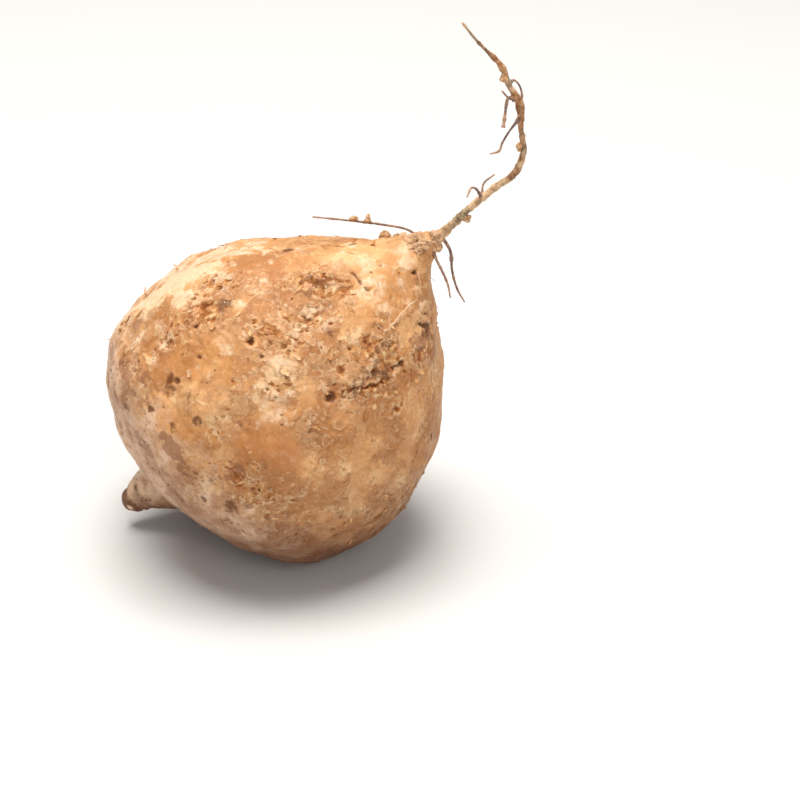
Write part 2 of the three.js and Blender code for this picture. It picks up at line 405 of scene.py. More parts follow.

# %% [markdown]
# ## Where the skin is worn, bleached or stained
#
# Random patches alone would look like any root. The places that give this one its face are set one
# by one, each as an oval on the skin: where its middle is, how long it is along the axis, how wide
# around it, how it is turned, and how strongly it acts. Hills push its border in and out, so no oval
# shows. Each kind of mark becomes one named value at every point, which both the relief and the
# colours read, so a worn patch is rough and brown in the same place.

# %% Ovals on the skin
WORN = [
    # along, around, long, wide, turn, strength: below 0 the papery skin is gone, above 0 it is whole
    (0.47, 298, 30, 9, 8, -0.95), (0.57, 291, 14, 11, 0, -0.75), (0.61, 319, 15, 13, 30, -0.75),
    (0.76, 316, 19, 13, 35, -0.9), (0.66, 334, 24, 18, 20, -0.6), (0.69, 318, 13, 12, 0, -0.55),
    (0.73, 14, 15, 22, 60, -0.75), (0.79, 42, 9, 16, 0, -0.6), (0.28, 305, 9, 16, 0, -0.55),
    (0.29, 278, 9, 8, 40, -0.8), (0.33, 352, 8, 8, 0, -0.75), (0.53, 357, 13, 11, 0, -0.55),
    (0.57, 340, 14, 12, 20, -0.55), (0.5, 331, 9, 11, 0, -0.4), (0.41, 302, 9, 5, 0, -0.6),
    (0.38, 3, 12, 10, 30, -0.5), (0.66, 352, 12, 12, 0, -0.35), (0.47, 341, 9, 6, 90, -0.5),
    (0.83, 272, 7, 3, 45, -0.6), (0.73, 275, 5, 4, 0, -0.5), (0.81, 1, 6, 9, 0, -0.4),
    (0.44, 318, 26, 13, 25, 0.75), (0.46, 351, 17, 18, 0, 0.95), (0.67, 285, 20, 15, 0, 0.25),
    (0.46, 276, 46, 11, 8, 0.95), (0.6, 303, 8, 6, 0, 0.7), (0.87, 320, 17, 26, 0, 0.85),
    (0.585, 321, 7, 6, 0, 0.75), (0.85, 285, 14, 12, 0, 0.6), (0.72, 340, 9, 6, 45, 0.45),
    (0.61, 339, 8, 8, 0, 0.4), (0.32, 325, 16, 14, 0, 0.5), (0.57, 352, 9, 6, 0, 0.35),
    (0.55, 120, 40, 26, 10, -0.6), (0.45, 190, 24, 34, 0, -0.6), (0.66, 215, 20, 22, 30, -0.6),
    (0.52, 262, 46, 20, 8, 0.7), (0.33, 8, 15, 18, 0, -0.65), (0.27, 20, 12, 18, 0, -0.6),
    (0.37, 357, 8, 12, 20, -0.6), (0.3, 300, 8, 22, 0, -0.45), (0.35, 150, 26, 20, 0, 0.6),
    (0.4, 60, 22, 30, 0, -0.5), (0.7, 160, 18, 22, 0, 0.5), (0.28, 235, 22, 26, 0, 0.4),
    (0.5, 240, 18, 14, 0, -0.5), (0.6, 80, 16, 14, 0, 0.5),
]
BLEACHED = [
    (0.5, 262, 50, 20, 8, 0.75), (0.36, 283, 16, 14, 0, 0.7), (0.53, 283, 22, 12, 10, 0.55),
    (0.7, 283, 16, 10, 0, 0.15), (0.5, 318, 20, 10, 20, 0.3), (0.64, 298, 12, 8, 0, 0.35),
    (0.46, 275, 44, 11, 8, 1.0), (0.57, 270, 12, 9, 0, 0.7), (0.52, 290, 22, 5, 10, 0.45),
    (0.6, 304, 7, 6, 0, 0.5), (0.84, 292, 12, 10, 0, 0.3), (0.86, 320, 14, 20, 0, 0.35),
    (0.59, 338, 8, 8, 0, 0.45), (0.66, 337, 8, 6, 45, 0.25), (0.44, 200, 22, 14, 0, 0.5),
    (0.62, 140, 14, 12, 0, 0.4), (0.52, 345, 14, 10, 0, 0.5), (0.72, 328, 12, 10, 20, 0.4),
    (0.78, 338, 12, 10, 0, 0.35), (0.7, 330, 9, 7, 30, 0.5), (0.66, 329, 7, 4, 0, 0.5),
    (0.52, 339, 12, 8, 0, 0.45), (0.48, 288, 10, 12, 0, 0.7), (0.56, 280, 12, 8, 0, 0.8),
    (0.4, 297, 8, 12, 0, 0.5), (0.84, 338, 14, 14, 0, 0.45), (0.87, 25, 14, 22, 0, 0.35),
    (0.3, 296, 5, 14, 20, 0.5), (0.34, 304, 4, 6, 0, 0.6), (0.21, 316, 4, 12, 0, 0.45),
    (0.18, 330, 5, 12, 0, 0.45), (0.93, 330, 8, 9, 0, 0.45), (0.95, 300, 8, 8, 0, 0.4),
]
AMBER = [
    (0.62, 358, 9, 8, 0, 1.0), (0.45, 354, 18, 20, 0, 0.75), (0.37, 2, 7, 8, 0, 0.7),
    (0.66, 288, 28, 20, 0, 0.75), (0.45, 300, 14, 5, 0, 0.7), (0.36, 288, 6, 6, 0, 0.5),
    (0.64, 350, 8, 6, 0, 0.6), (0.52, 2, 14, 10, 0, 0.6), (0.73, 332, 14, 10, 0, 0.35),
    (0.55, 95, 20, 18, 0, 0.5), (0.45, 170, 16, 20, 0, 0.5), (0.66, 230, 14, 14, 0, 0.4),
]
STAINED = [
    (0.25, 344, 2.4, 1.8, 45, 0.9), (0.27, 351, 1.6, 2.4, 0, 0.8), (0.21, 353, 2.0, 3.4, 20, 0.9),
    (0.25, 1, 3.6, 5.0, 60, 0.8), (0.29, 4, 2.4, 2.2, 0, 0.7), (0.19, 6, 3.0, 5.6, 60, 0.7),
    (0.13, 344, 1.6, 2.4, 0, 0.8), (0.1, 348, 1.6, 2.2, 0, 0.8), (0.15, 336, 1.8, 3.0, 30, 0.8),
    (0.21, 311, 4.6, 2.2, 70, 0.7), (0.27, 318, 2.0, 1.6, 0, 1.0), (0.29, 328, 2.6, 4.0, 20, 0.8),
    (0.35, 331, 3.0, 2.6, 20, 0.9), (0.38, 324, 5.0, 5.0, 0, 0.45), (0.37, 316, 1.6, 1.6, 0, 0.9),
    (0.46, 318, 1.6, 1.8, 0, 0.7), (0.34, 317, 4.2, 4.6, 45, 0.8), (0.355, 314, 2.8, 3.4, 45, 1.3),
    (0.73, 274, 3.4, 3.4, 0, 0.9), (0.72, 14, 9, 16, 45, 0.5), (0.76, 22, 4, 8, 30, 0.3),
    (0.67, 8, 10, 8, 60, 0.45), (0.83, 48, 6, 12, 0, 0.5), (0.73, 8, 16, 22, 0, 0.4),
    (0.76, 316, 13, 10, 30, 0.5), (0.55, 304, 7, 7, 0, 0.45), (0.72, 342, 6, 5, 0, 0.4),
    (0.29, 352, 5, 7, 0, 0.35), (0.79, 357, 4, 4, 0, 0.5), (0.44, 342, 5, 4, 0, 0.4),
    (0.83, 100, 10, 12, 0, 0.4), (0.6, 175, 7, 10, 0, 0.5),
]
MAUVE = [
    (0.18, 325, 4.6, 12, 0, 1.1), (0.245, 335, 5.2, 17, 8, 1.2), (0.25, 1, 3.0, 6, 0, 0.8),
    (0.19, 8, 3.0, 8, 10, 0.9), (0.24, 13, 2.4, 5, 0, 0.7), (0.24, 20, 2.2, 5, 0, 0.7),
    (0.33, 352, 8, 7, 0, 0.6), (0.15, 350, 2.2, 5, 0, 0.6), (0.28, 306, 8, 14, 0, 0.5),
    (0.44, 340, 3, 6, 90, 0.5), (0.82, 50, 12, 16, 0, 0.9), (0.335, 285, 9, 7, 30, 1.0),
    (0.26, 287, 9, 5, 60, 0.8), (0.2, 300, 5, 10, 20, 0.7), (0.22, 285, 4, 9, 0, 0.7),
    (0.15, 285, 3, 8, 0, 0.7), (0.12, 310, 3, 9, 0, 0.7), (0.17, 265, 5, 10, 30, 0.7),
    (0.1, 240, 4, 12, 0, 0.7), (0.3, 262, 6, 9, 0, 0.6), (0.28, 304, 14, 13, 20, 0.55),
    (0.29, 312, 10, 8, 0, 0.5), (0.25, 297, 10, 9, 10, 0.8), (0.21, 305, 4, 7, 0, 0.7),
    (0.2, 60, 3, 12, 0, 0.8), (0.16, 95, 3, 9, 0, 0.7), (0.25, 130, 4, 14, 0, 0.8),
    (0.18, 180, 3, 10, 0, 0.8), (0.22, 220, 4, 12, 0, 0.7), (0.17, 255, 3, 9, 0, 0.7),
]


def axes_at(along, around):
    """The skin's own directions at a place: along the axis, around it, and outwards."""
    here = on_tuber(along, around)
    up = unit(on_tuber(along + 0.01, around) - on_tuber(along - 0.01, around))
    round_ = unit(on_tuber(along, around + 1) - on_tuber(along, around - 1))
    return here, up, round_, unit(np.cross(round_, up))


def oval(points, mark, ragged, edge=0.45):
    """1 inside the oval `mark`, 0 outside, with a border that `ragged` pushes in and out."""
    along, around, long, wide, turn = mark[:5]
    here, up, round_, out = axes_at(along, around)
    turn = math.radians(turn)
    first = up * math.cos(turn) + round_ * math.sin(turn)
    second = round_ * math.cos(turn) - up * math.sin(turn)
    offset = points - here
    in_plane = (offset @ first / long * 2) ** 2 + (offset @ second / wide * 2) ** 2
    reach = np.sqrt(in_plane + (offset @ out / max(long, wide)) ** 2)
    return 1 - rise(reach + ragged, 1 - edge, 1 + edge)


def marked(points, marks, ragged, edge=0.45):
    """The value of the mark that acts most strongly at each point."""
    total = np.zeros(len(points))
    for mark in marks:
        value = mark[5] * oval(points, mark, ragged, edge)
        total = np.where(np.abs(value) > np.abs(total), value, total)
    return total


ragged_border = 0.38 * rough_hills(skin, 9, 21, layers=4, fall=0.6)
print("marks:", len(WORN), "worn,", len(BLEACHED), "bleached,", len(AMBER), "amber,", end=" ")
print(len(STAINED), "stained,", len(MAUVE), "mauve")

# %% The papery layer: whole above 0, worn through below it, torn along 0
smooth_crown = 0.55 * (1 - rise(skin_along, 0.2, 0.36)) + 0.25 * rise(skin_along, 0.84, 0.92)
layer_patches = 0.42 * rough_hills(skin, 11, 31, layers=5, fall=0.8)
worn_marks = marked(skin, WORN, ragged_border, 0.8)
layer = 0.66 + smooth_crown + layer_patches + 0.95 * worn_marks
film = np.clip(0.5 - 0.6 * worn_marks - 0.45 * smooth_crown, 0, 1)
worn_through = 1 - rise(layer, -0.12, 0.12)
print("worn share of the skin:", round(float((layer < 0).mean()), 2))

# %% [markdown]
# ## Pits, cracks and curled rims
#
# A pit is a small round hole, some with a raised border. A crack is a groove along a line of places,
# and a curled rim is the same line raised: the torn edge of the papery skin where it has dried and
# lifted. All of them are pushed into the mesh, since a real edge catches light from every side.

# %% Pits, cracks and rims
PITS = [
    # along, around, radius, depth
    (0.572, 321, 1.05, 2.0), (0.62, 358, 1.3, 1.8), (0.45, 314, 0.7, 0.9), (0.573, 328, 0.6, 0.9),
    (0.92, 13, 0.9, 1.3), (0.37, 316, 0.8, 1.0), (0.73, 274, 1.0, 0.7), (0.48, 304, 0.8, 0.8),
    (0.5, 351, 0.5, 0.5), (0.52, 349, 0.5, 0.5), (0.53, 0, 0.7, 0.7), (0.51, 357, 0.5, 0.5),
    (0.24, 344, 0.45, 0.5), (0.2, 351, 0.5, 0.5), (0.19, 346, 0.4, 0.4), (0.28, 330, 0.4, 0.4),
    (0.41, 335, 0.6, 0.6), (0.34, 340, 0.45, 0.5), (0.3, 320, 0.45, 0.5), (0.72, 352, 0.7, 0.7),
    (0.76, 24, 0.8, 0.8), (0.83, 49, 0.9, 1.0), (0.65, 282, 0.5, 0.5), (0.62, 275, 0.45, 0.4),
    (0.4, 100, 0.9, 1.2), (0.55, 140, 0.8, 1.0), (0.5, 210, 1.0, 1.4), (0.35, 190, 0.6, 0.6),
    (0.68, 190, 0.8, 0.9), (0.3, 80, 0.5, 0.6), (0.6, 245, 0.7, 0.7), (0.25, 160, 0.5, 0.5),
]
CRACKS = [
    # half width, depth, places
    (0.5, 0.8, [(0.83, 271), (0.84, 275), (0.86, 270)]),
    (0.45, 0.8, [(0.83, 316), (0.83, 325), (0.83, 334), (0.83, 338)]),
    (0.5, 0.75, [(0.66, 4), (0.68, 9), (0.7, 14), (0.72, 18)]),
    (0.45, 0.7, [(0.74, 18), (0.76, 23), (0.75, 28)]),
    (0.7, 0.9, [(0.84, 37), (0.84, 52), (0.82, 61)]),
    (0.5, 0.6, [(0.86, 40), (0.86, 55), (0.84, 66)]),
    (0.35, 0.5, [(0.79, 0), (0.79, 6), (0.78, 13)]),
    (0.3, 0.35, [(0.23, 335), (0.22, 340), (0.22, 346)]),
    (0.5, 0.6, [(0.14, 333), (0.14, 342), (0.15, 352)]),
    (0.35, 0.35, [(0.39, 354), (0.4, 358), (0.43, 2)]),
    (0.45, 0.6, [(0.26, 280), (0.3, 277), (0.33, 276)]),
    (0.5, 0.8, [(0.5, 150), (0.53, 158), (0.55, 170)]),
    (0.5, 0.7, [(0.65, 200), (0.62, 210), (0.63, 222)]),
    (0.4, 0.5, [(0.35, 120), (0.34, 135), (0.36, 148)]),
    (0.45, 0.6, [(0.72, 90), (0.74, 110), (0.73, 125)]),
]
RIMS = [
    # half width, height, places
    (0.5, 0.45, [(0.58, 315), (0.6, 317), (0.605, 322), (0.59, 326)]),
    (0.5, 0.35, [(0.41, 346), (0.4, 349), (0.39, 354)]),
    (0.45, 0.55, [(0.835, 334), (0.845, 339), (0.82, 343)]),
    (0.5, 0.5, [(0.9, 336), (0.91, 343), (0.92, 355)]),
    (0.6, 0.5, [(0.57, 312), (0.59, 306), (0.64, 303)]),
    (0.55, 0.4, [(0.41, 303), (0.44, 304), (0.49, 306)]),
    (0.5, 0.5, [(0.27, 292), (0.3, 294), (0.32, 298), (0.33, 304)]),
    (0.4, 0.45, [(0.25, 314), (0.26, 317), (0.25, 319)]),
    (0.45, 0.4, [(0.52, 309), (0.54, 315), (0.53, 321)]),
    (0.45, 0.35, [(0.8, 306), (0.79, 318), (0.76, 327)]),
    (0.5, 0.4, [(0.32, 276), (0.3, 281), (0.27, 286)]),
    (0.45, 0.35, [(0.56, 286), (0.6, 288), (0.61, 294)]),
    (0.45, 0.35, [(0.49, 288), (0.52, 292), (0.53, 297)]),
    (0.5, 0.4, [(0.5, 175), (0.46, 182), (0.44, 195)]),
    (0.5, 0.4, [(0.58, 110), (0.6, 122), (0.57, 132)]),
]


def beside_line(points, places):
    """How far each point is from the line through `places`."""
    along, around = (np.array(v, float) for v in zip(*places))
    stops = np.linspace(0, len(places) - 1, 8 * len(places))
    numbers = range(len(places))
    line = on_tuber(np.interp(stops, numbers, along), np.interp(stops, numbers, around))
    return np.min([np.linalg.norm(points - spot, axis=1) for spot in line], axis=0)


def line_relief(points, lines):
    """How deep or high the strongest of the lines is at each point."""
    return np.max([d * np.exp(-((beside_line(points, p) / w) ** 2)) for w, d, p in lines], axis=0)


PIT_RIM = 0.06  # height of the raised border of a pit, as a share of its depth
# Lines and holes are measured from places that waver a little, so none is straight or round.
wavering = skin + 0.7 * np.stack([hills(skin, 2.4, seed) for seed in (41, 42, 43)], 1)
pit_depth = np.zeros(len(skin))
pit_rim = np.zeros(len(skin))
for along, around, radius, depth in PITS:
    away = np.linalg.norm(wavering - on_tuber(along, around), axis=1) / radius
    pit_depth = np.maximum(pit_depth, depth * np.exp(-(away**2)))
    pit_rim = np.maximum(pit_rim, PIT_RIM * depth * np.exp(-(((away - 1.9) / 0.7) ** 2)))
crack_depth = line_relief(wavering, CRACKS)
rim_height = line_relief(wavering, RIMS)
print("pits:", len(PITS), "cracks:", len(CRACKS), "rims:", len(RIMS))

# %% [markdown]
# ## Relief of the skin
#
# The heights add up: soft lumps everywhere, a small step where the papery skin ends, crumbs and
# furrows where it is worn through, and fine creases that run around the crown. A soft fillet leads
# the crown into the stump, and the top corner of the neck sinks under the crust that is laid on it
# later. Everything sinks a little first, so that the bumps don't reach beyond the solid's box.

# %% Heights, in millimetres
SINK = 0.35
FILLET, FILLET_REACH = 4.2, 15  # how high the crown swells round the stump, and how far from its axis
NECK_DROP = 2.7
CREASE_SQUEEZE = 7  # creases are this much longer around the axis than along it
ON_TABLE = 0.05  # whatever is lower than this lies flat on the table
STUMP_LINE = ((-35, 4, 21), (-50, 3, 13.2))  # the middle of the stump, on the lying root
lying = lie_down(skin)
stump_way_out = unit(np.subtract(STUMP_LINE[1], STUMP_LINE[0]).astype(float))
beside_stump = np.linalg.norm(np.cross(lying - STUMP_LINE[0], stump_way_out), axis=1)
# The fillet is on the crown's side only, and the dropped corner is the upper one of the neck's end.
by_stump = np.exp(-((beside_stump / FILLET_REACH) ** 4)) * (lying[:, 0] < -20)
neck_corner = rise(skin_along, 0.935, 0.975) * rise(-lying[:, 0], -42, -37)
creases = rough_hills(skin * (1, 1, CREASE_SQUEEZE), 9, 51, layers=3)
crumple = rough_hills(skin, 4.2, 64, layers=3, fall=0.65)
furrows = 1 - np.abs(rough_hills(skin, 6, 71, layers=3, fall=0.6))
peeling = 2.6 * rough_hills(skin, 13, 75, layers=4, fall=0.6) % 1
peeled_step = peeling - rise(peeling, 0.72, 1)
relief = (
    -SINK
    + 1.1 * rough_hills(skin, 21, 81, layers=2)
    + 0.5 * rough_hills(skin, 9, 84, layers=3)
    + FILLET * by_stump
    - (NECK_DROP + 0.5 * hills(skin, 3, 87)) * neck_corner
    + (0.2 + 0.16 * hills(skin, 14, 85)) * rise(layer, -0.08, 0.08)
    + worn_through * (0.3 * crumple + 0.26 * furrows - 0.26)
    + (0.12 + 0.24 * film) * peeled_step
    + film * 0.12 * crumple
    + (1 - worn_through) * 0.1 * creases
    - pit_depth
    + pit_rim
    - crack_depth
    + rim_height
)
# Raised places fade out beside the solid's box, and all relief fades out on the flat spot below.
room = np.minimum(lying - BOX_LOW, BOX_HIGH - lying)[:, (0, 1)].min(axis=1)
relief = np.where(relief > 0, relief * rise(room, 0, 4), relief)
flat_spot = rise(lying[:, 2], 0.3, 4)
faded_up = -SINK + (relief + SINK) * flat_spot
faded_down = relief * flat_spot - SINK * (1 - flat_spot)
skin_relief = np.where(relief > -SINK, faded_up, faded_down)
skin_surface = kept_in_box(lie_down(skin + outwards * skin_relief[:, None]))
skin_surface[:, 2] = np.where(skin_surface[:, 2] < ON_TABLE, 0.0, skin_surface[:, 2])
print("relief from", round(float(relief.min()), 2), "to", round(float(relief.max()), 2), "mm")

# %% Values that the colours read
skin_crown = 1 - rise(skin_along + 0.03 * hills(skin, 20, 91), 0.15, 0.39)
STUMP_FOOT = 12.5  # millimetres from the stump's axis to the fold round its foot, painted dark there as shade
stump_fold_shade = 1.3 * np.exp(-(((beside_stump - STUMP_FOOT) / 1.5) ** 2)) * by_stump
skin_values = {
    "layer": layer,
    # how far each point lies below its neighbours; the finishes paint shade into hollows and highlight
    # onto raised places by it
    "hollow": np.clip((softened(relief, skin_faces, 6) - relief) / 0.25, -2, 2),
    "bleached": marked(skin, BLEACHED, 1.7 * ragged_border, 0.7),
    "amber": marked(skin, AMBER, ragged_border, 0.8),
    # real stains, plus painted shade in the fold round the stump and inside pits and cracks
    "stained": stump_fold_shade + marked(skin, STAINED, 1.3 * ragged_border, 0.5)
    + 1.2 * rise(pit_depth, 0.12, 0.6) + 0.9 * rise(crack_depth, 0.15, 0.6),
    "mauve": marked(skin, MAUVE, 1.5 * ragged_border, 0.45),
    "crown": skin_crown,
    "film": film,
}
for key, values in skin_values.items():
    print(f"{key:9s} mean {float(np.mean(values)):.2f}, highest {float(np.max(values)):.2f}")

# %% [markdown]
# ## Words for wiring a material
#
# A procedural material is a net of small nodes. Writing each node out in full would bury the idea, so
# a few short words do the wiring: `noise`, `mix`, `rise` and so on each add one node and return its
# output. Sizes are given in millimetres of root, not as the texture's own scale, so that a grain of
# 0.4 mm is written as 0.4.

# %% Wiring helpers


def tint(red, green, blue):
    """A colour given as on a paint card (0 to 255), as the renderer's own linear numbers."""
    card = (red, green, blue)
    return (*(((c / 255 + 0.055) / 1.055) ** 2.4 if c > 10 else c / 3295 for c in card), 1.0)


WHITE = tint(255, 255, 255)


class Wiring:
    """Adds nodes to one node tree and joins them."""

    def __init__(self, tree):
        self.tree = tree

    def node(self, kind, values=None, **settings):
        made = self.tree.nodes.new(kind)
        for key, value in settings.items():
            setattr(made, key, value)
        for key, value in (values or {}).items():
            self.put(made.inputs[key], value)
        return made

    def put(self, socket, value):
        if isinstance(value, bpy.types.NodeSocket):
            self.tree.links.new(value, socket)
        else:
            socket.default_value = value

    def math(self, operation, a, b=0.0):
        return self.node("ShaderNodeMath", {0: a, 1: b}, operation=operation).outputs[0]

    def vector(self, operation, a, b):
        return self.node("ShaderNodeVectorMath", {0: a, 1: b}, operation=operation).outputs[0]

    def total(self, *values):
        result = values[0]
        for value in values[1:]:
            result = self.math("ADD", result, value)
        return result

    def product(self, *values):
        result = values[0]
        for value in values[1:]:
            result = self.math("MULTIPLY", result, value)
        return result

    def rise(self, value, low, high, to_low=0.0, to_high=1.0):
        """Goes smoothly from `to_low` to `to_high` as the value goes from `low` to `high`."""
        ends = {"Value": value, "From Min": low, "From Max": high, "To Min": to_low, "To Max": to_high}
        return self.node("ShaderNodeMapRange", ends, interpolation_type="SMOOTHSTEP").outputs["Result"]

    def fall(self, value, low, high, to_low=1.0, to_high=0.0):
        """Goes smoothly from `to_low` down to `to_high` as the value goes from `low` to `high`."""
        return self.rise(value, low, high, to_low, to_high)

    def peak(self, value, middle, half_width):
        """1 at `middle`, falling to 0 at `half_width` on either side."""
        away = self.math("ABSOLUTE", self.math("SUBTRACT", value, middle))
        return self.fall(away, 0.0, half_width)

    def broken(self, value, noise, amount):
        """The value, pushed up and down by a noise output so that its borders turn ragged."""
        return self.total(value, self.product(self.math("SUBTRACT", noise, 0.5), amount))

    def mix(self, share, a, b, way="MIX"):
        made = self.node("ShaderNodeMix", data_type="RGBA", blend_type=way, clamp_factor=True)
        for socket, value in zip((made.inputs[0], made.inputs[6], made.inputs[7]), (share, a, b)):
            self.put(socket, value)
        return made.outputs[2]

    def painted(self, colour, *coats):
        """The colour under coats laid one over the other, each a share and a colour."""
        for share, coat in coats:
            colour = self.mix(share, colour, coat)
        return colour

    def grained(self, colour, tone, darkest, share=0.5):
        """The colour darkened towards `darkest` where the tone of the grain is low: painted shade in
        the grain's low places, since the tone follows the grain's height.
        """
        shade = self.ramp(tone, [(0.0, darkest), (1.0, WHITE)])
        return self.mix(share, colour, shade, "MULTIPLY")

    def bump(self, height, strength, distance):
        values = {"Height": height, "Strength": strength, "Distance": distance}
        return self.node("ShaderNodeBump", values).outputs["Normal"]

    def noise(self, place, size, detail=2.0, roughness=0.5, warp=0.0):
        values = {"Vector": place, "Scale": 1 / (size * MM), "Detail": detail, "Roughness": roughness}
        return self.node("ShaderNodeTexNoise", {**values, "Distortion": warp}).outputs["Fac"]

    def cells(self, place, size):
        """How far each place is from the middle of the cell it is in, in cells."""
        values = {"Vector": place, "Scale": 1 / (size * MM)}
        return self.node("ShaderNodeTexVoronoi", values).outputs["Distance"]

    def stretched(self, place, scale, turn):
        values = {"Vector": place, "Scale": scale, "Rotation": turn}
        return self.node("ShaderNodeMapping", values, vector_type="TEXTURE").outputs["Vector"]

    def named(self, name):
        return self.node("ShaderNodeAttribute", attribute_name=name).outputs["Fac"]

    def place(self):
        return self.node("ShaderNodeTexCoord").outputs["Object"]

    def ramp(self, value, stops):
        """A colour scale: [(share, colour), ...] read at `value`."""
        made = self.node("ShaderNodeValToRGB", {"Fac": value})
        scale = made.color_ramp
        while len(scale.elements) < len(stops):
            scale.elements.new(0.5)
        for element, (share, colour) in zip(scale.elements, stops):
            element.position = share
            element.color = colour
        return made.outputs["Color"]

    def group(self, group, **values):
        made = self.node("ShaderNodeGroup", node_tree=group)
        for key, value in values.items():
            self.put(made.inputs[key], value)
        return made.outputs


def new_group(name, inputs, outputs, kind="ShaderNodeTree"):
    """An empty node group with named sockets: its tree, wiring, inputs and outputs."""
    tree = bpy.data.node_groups.new(name, kind)
    for label, kind, default in inputs:
        socket = tree.interface.new_socket(name=label, in_out="INPUT", socket_type="NodeSocket" + kind)
        if default is not None:
            socket.default_value = default
    for label, kind in outputs:
        tree.interface.new_socket(name=label, in_out="OUTPUT", socket_type="NodeSocket" + kind)
    wiring = Wiring(tree)
    return tree, wiring, wiring.node("NodeGroupInput").outputs, wiring.node("NodeGroupOutput").inputs


def new_material(name, roughness=0.7):
    """A material with one Principled shader, its wiring and the shader's inputs."""
    material = bpy.data.materials.new(name)
    material.use_nodes = True
    surface = material.node_tree.nodes["Principled BSDF"]
    surface.inputs["Roughness"].default_value = roughness
    surface.inputs["Specular IOR Level"].default_value = 0.2  # dry plant matter hardly shines
    return material, Wiring(material.node_tree), surface.inputs


print("words:", ", ".join(word for word in vars(Wiring) if not word.startswith("_")))

# %% [markdown]
# ## Effects that several finishes share
#
# Skin, taproot and rootlets are all the same dry plant matter, so a few effects are made once as node
# groups and placed in the materials that need them, each with its own values: fine grain, which gives
# a height and a tone that paints its low places darker as shade; crumbled cork, the look of skin that
# has worn through, painted darker in its hollows as shade; peeling layers, with a painted highlight on
# the rim of each thin sheet of paper and a painted shadow beside it; and dust of dried soil.

# %% Group: fine grain
grain_group, w, given, out = new_group(
    "fine_grain",
    [("Place", "Vector", None), ("Coarse", "Float", 1100.0), ("Fine", "Float", 3600.0)],
    [("Height", "Float"), ("Tone", "Float")],
)
values = {"Vector": given["Place"], "Scale": given["Coarse"], "Detail": 3.0}
coarse = w.node("ShaderNodeTexNoise", values).outputs[0]
values = {"Vector": given["Place"], "Scale": given["Fine"], "Detail": 2.0}
fine = w.node("ShaderNodeTexNoise", values).outputs[0]
w.put(out["Height"], w.total(w.product(coarse, 0.7), w.product(fine, 0.3)))
# The tone follows nearly the same noise as the height, so it paints the grain's low places darker, as
# shade.
both = w.total(w.product(coarse, 0.6), w.product(fine, 0.4))
w.put(out["Tone"], w.rise(both, 0.3, 0.7))
print("group:", grain_group.name)

# %% Group: crumbled cork
cork_group, w, given, out = new_group(
    "crumbled_cork",
    [("Place", "Vector", None), ("Depth", "Float", 0.0)],
    [("Color", "Color"), ("Height", "Float")],
)
crumple = w.noise(given["Place"], 3.6, 5.0, 0.62)
# Deeper places (Depth) read lower on the cork's scale, so hollows are painted darker, as shade.
level = w.total(crumple, w.product(given["Depth"], -0.12))
cork_scale = [
    (0.3, tint(128, 68, 26)), (0.4, tint(166, 100, 48)), (0.49, tint(192, 132, 80)),
    (0.58, tint(216, 162, 108)), (0.67, tint(242, 208, 164)),
]
rosy = w.rise(w.noise(given["Place"], 2.4, 3.0), 0.56, 0.66)
w.put(out["Color"], w.mix(w.product(rosy, 0.55), w.ramp(level, cork_scale), tint(220, 164, 130)))
w.put(out["Height"], w.rise(level, 0.25, 0.75))
print("group:", cork_group.name)

# %% Group: peeling layers
peeling_group, w, given, out = new_group(
    "peeling_layers",
    [("Place", "Vector", None), ("Layers", "Float", 11.0)],
    [("Tone", "Float"), ("Rim highlight", "Float"), ("Shadow", "Float"), ("Height", "Float")],
)
stacked = w.product(w.noise(given["Place"], 15.0, 5.0, 0.56), given["Layers"])
step = w.math("FRACT", stacked)
number = w.math("FLOOR", stacked)
random_tone = w.node("ShaderNodeTexWhiteNoise", {"W": number}, noise_dimensions="1D")
w.put(out["Tone"], random_tone.outputs["Value"])
# Rim highlight is a painted highlight on the rim of each sheet, Shadow a painted shadow just past it.
rim_places = w.rise(w.noise(given["Place"], 3.4, 2.0), 0.44, 0.6)
w.put(out["Rim highlight"], w.product(w.rise(step, 0.6, 1.0), rim_places))
shadow_places = w.rise(w.noise(given["Place"], 4.4, 2.0), 0.42, 0.6)
w.put(out["Shadow"], w.product(w.fall(step, 0.0, 0.4), shadow_places))
w.put(out["Height"], step)
print("group:", peeling_group.name)

# %% Group: dust of dried soil
dust_group, w, given, out = new_group(
    "soil_dust",
    [
        ("Place", "Vector", None), ("Base", "Color", None),
        ("Dust", "Color", tint(214, 182, 146)), ("Amount", "Float", 0.3),
    ],
    [("Color", "Color")],
)
clouds = w.noise(given["Place"], 4.0, 5.0, 0.7)
powder = w.noise(given["Place"], 0.5, 2.0)
mask = w.product(w.rise(w.total(clouds, w.product(powder, 0.35)), 0.56, 0.8), given["Amount"])
w.put(out["Color"], w.mix(mask, given["Base"], given["Dust"]))
print("group:", dust_group.name)

# %% [markdown]
# ## The skin's finish
#
# Whole skin is a thin, dry, slightly waxy paper: cream where it is bleached, tan elsewhere, amber
# over some bulges, and a pinkish beige at the crown. A thin brown film lies over much of it in ragged
# clouds. Where the paper has worn through, crumbled cork shows, with a painted highlight along the
# torn rim and a dark line of painted shadow and soil beside it. Hollows of the relief are painted
# darker as shade and its raised places lighter as highlight, and the skin is painted darker towards
# the table as shade, with soil. The colours are laid over each other in that order, each by the values
# that the mesh carries, and fine noise breaks every border below the size of the mesh's faces.

# %% Material: papery root skin, whole
root_skin, w, surface = new_material("papery_root_skin")
surface["Subsurface Weight"].default_value = 0.25
surface["Subsurface Radius"].default_value = (1.0, 0.85, 0.7)
surface["Subsurface Scale"].default_value = 0.0012
place = w.place()
mottle = w.noise(place, 4.0, 4.0, 0.58)
fleck = w.noise(place, 1.4, 2.0, 0.5)


def ragged_mark(name, by_mottle, by_fleck, ends, begins):
    """Where the skin's named value is high, with a ragged border, but nowhere that it is absent."""
    value = w.broken(w.broken(w.named(name), mottle, by_mottle), fleck, by_fleck)
    return w.product(w.rise(value, *ends), w.rise(w.named(name), *begins))


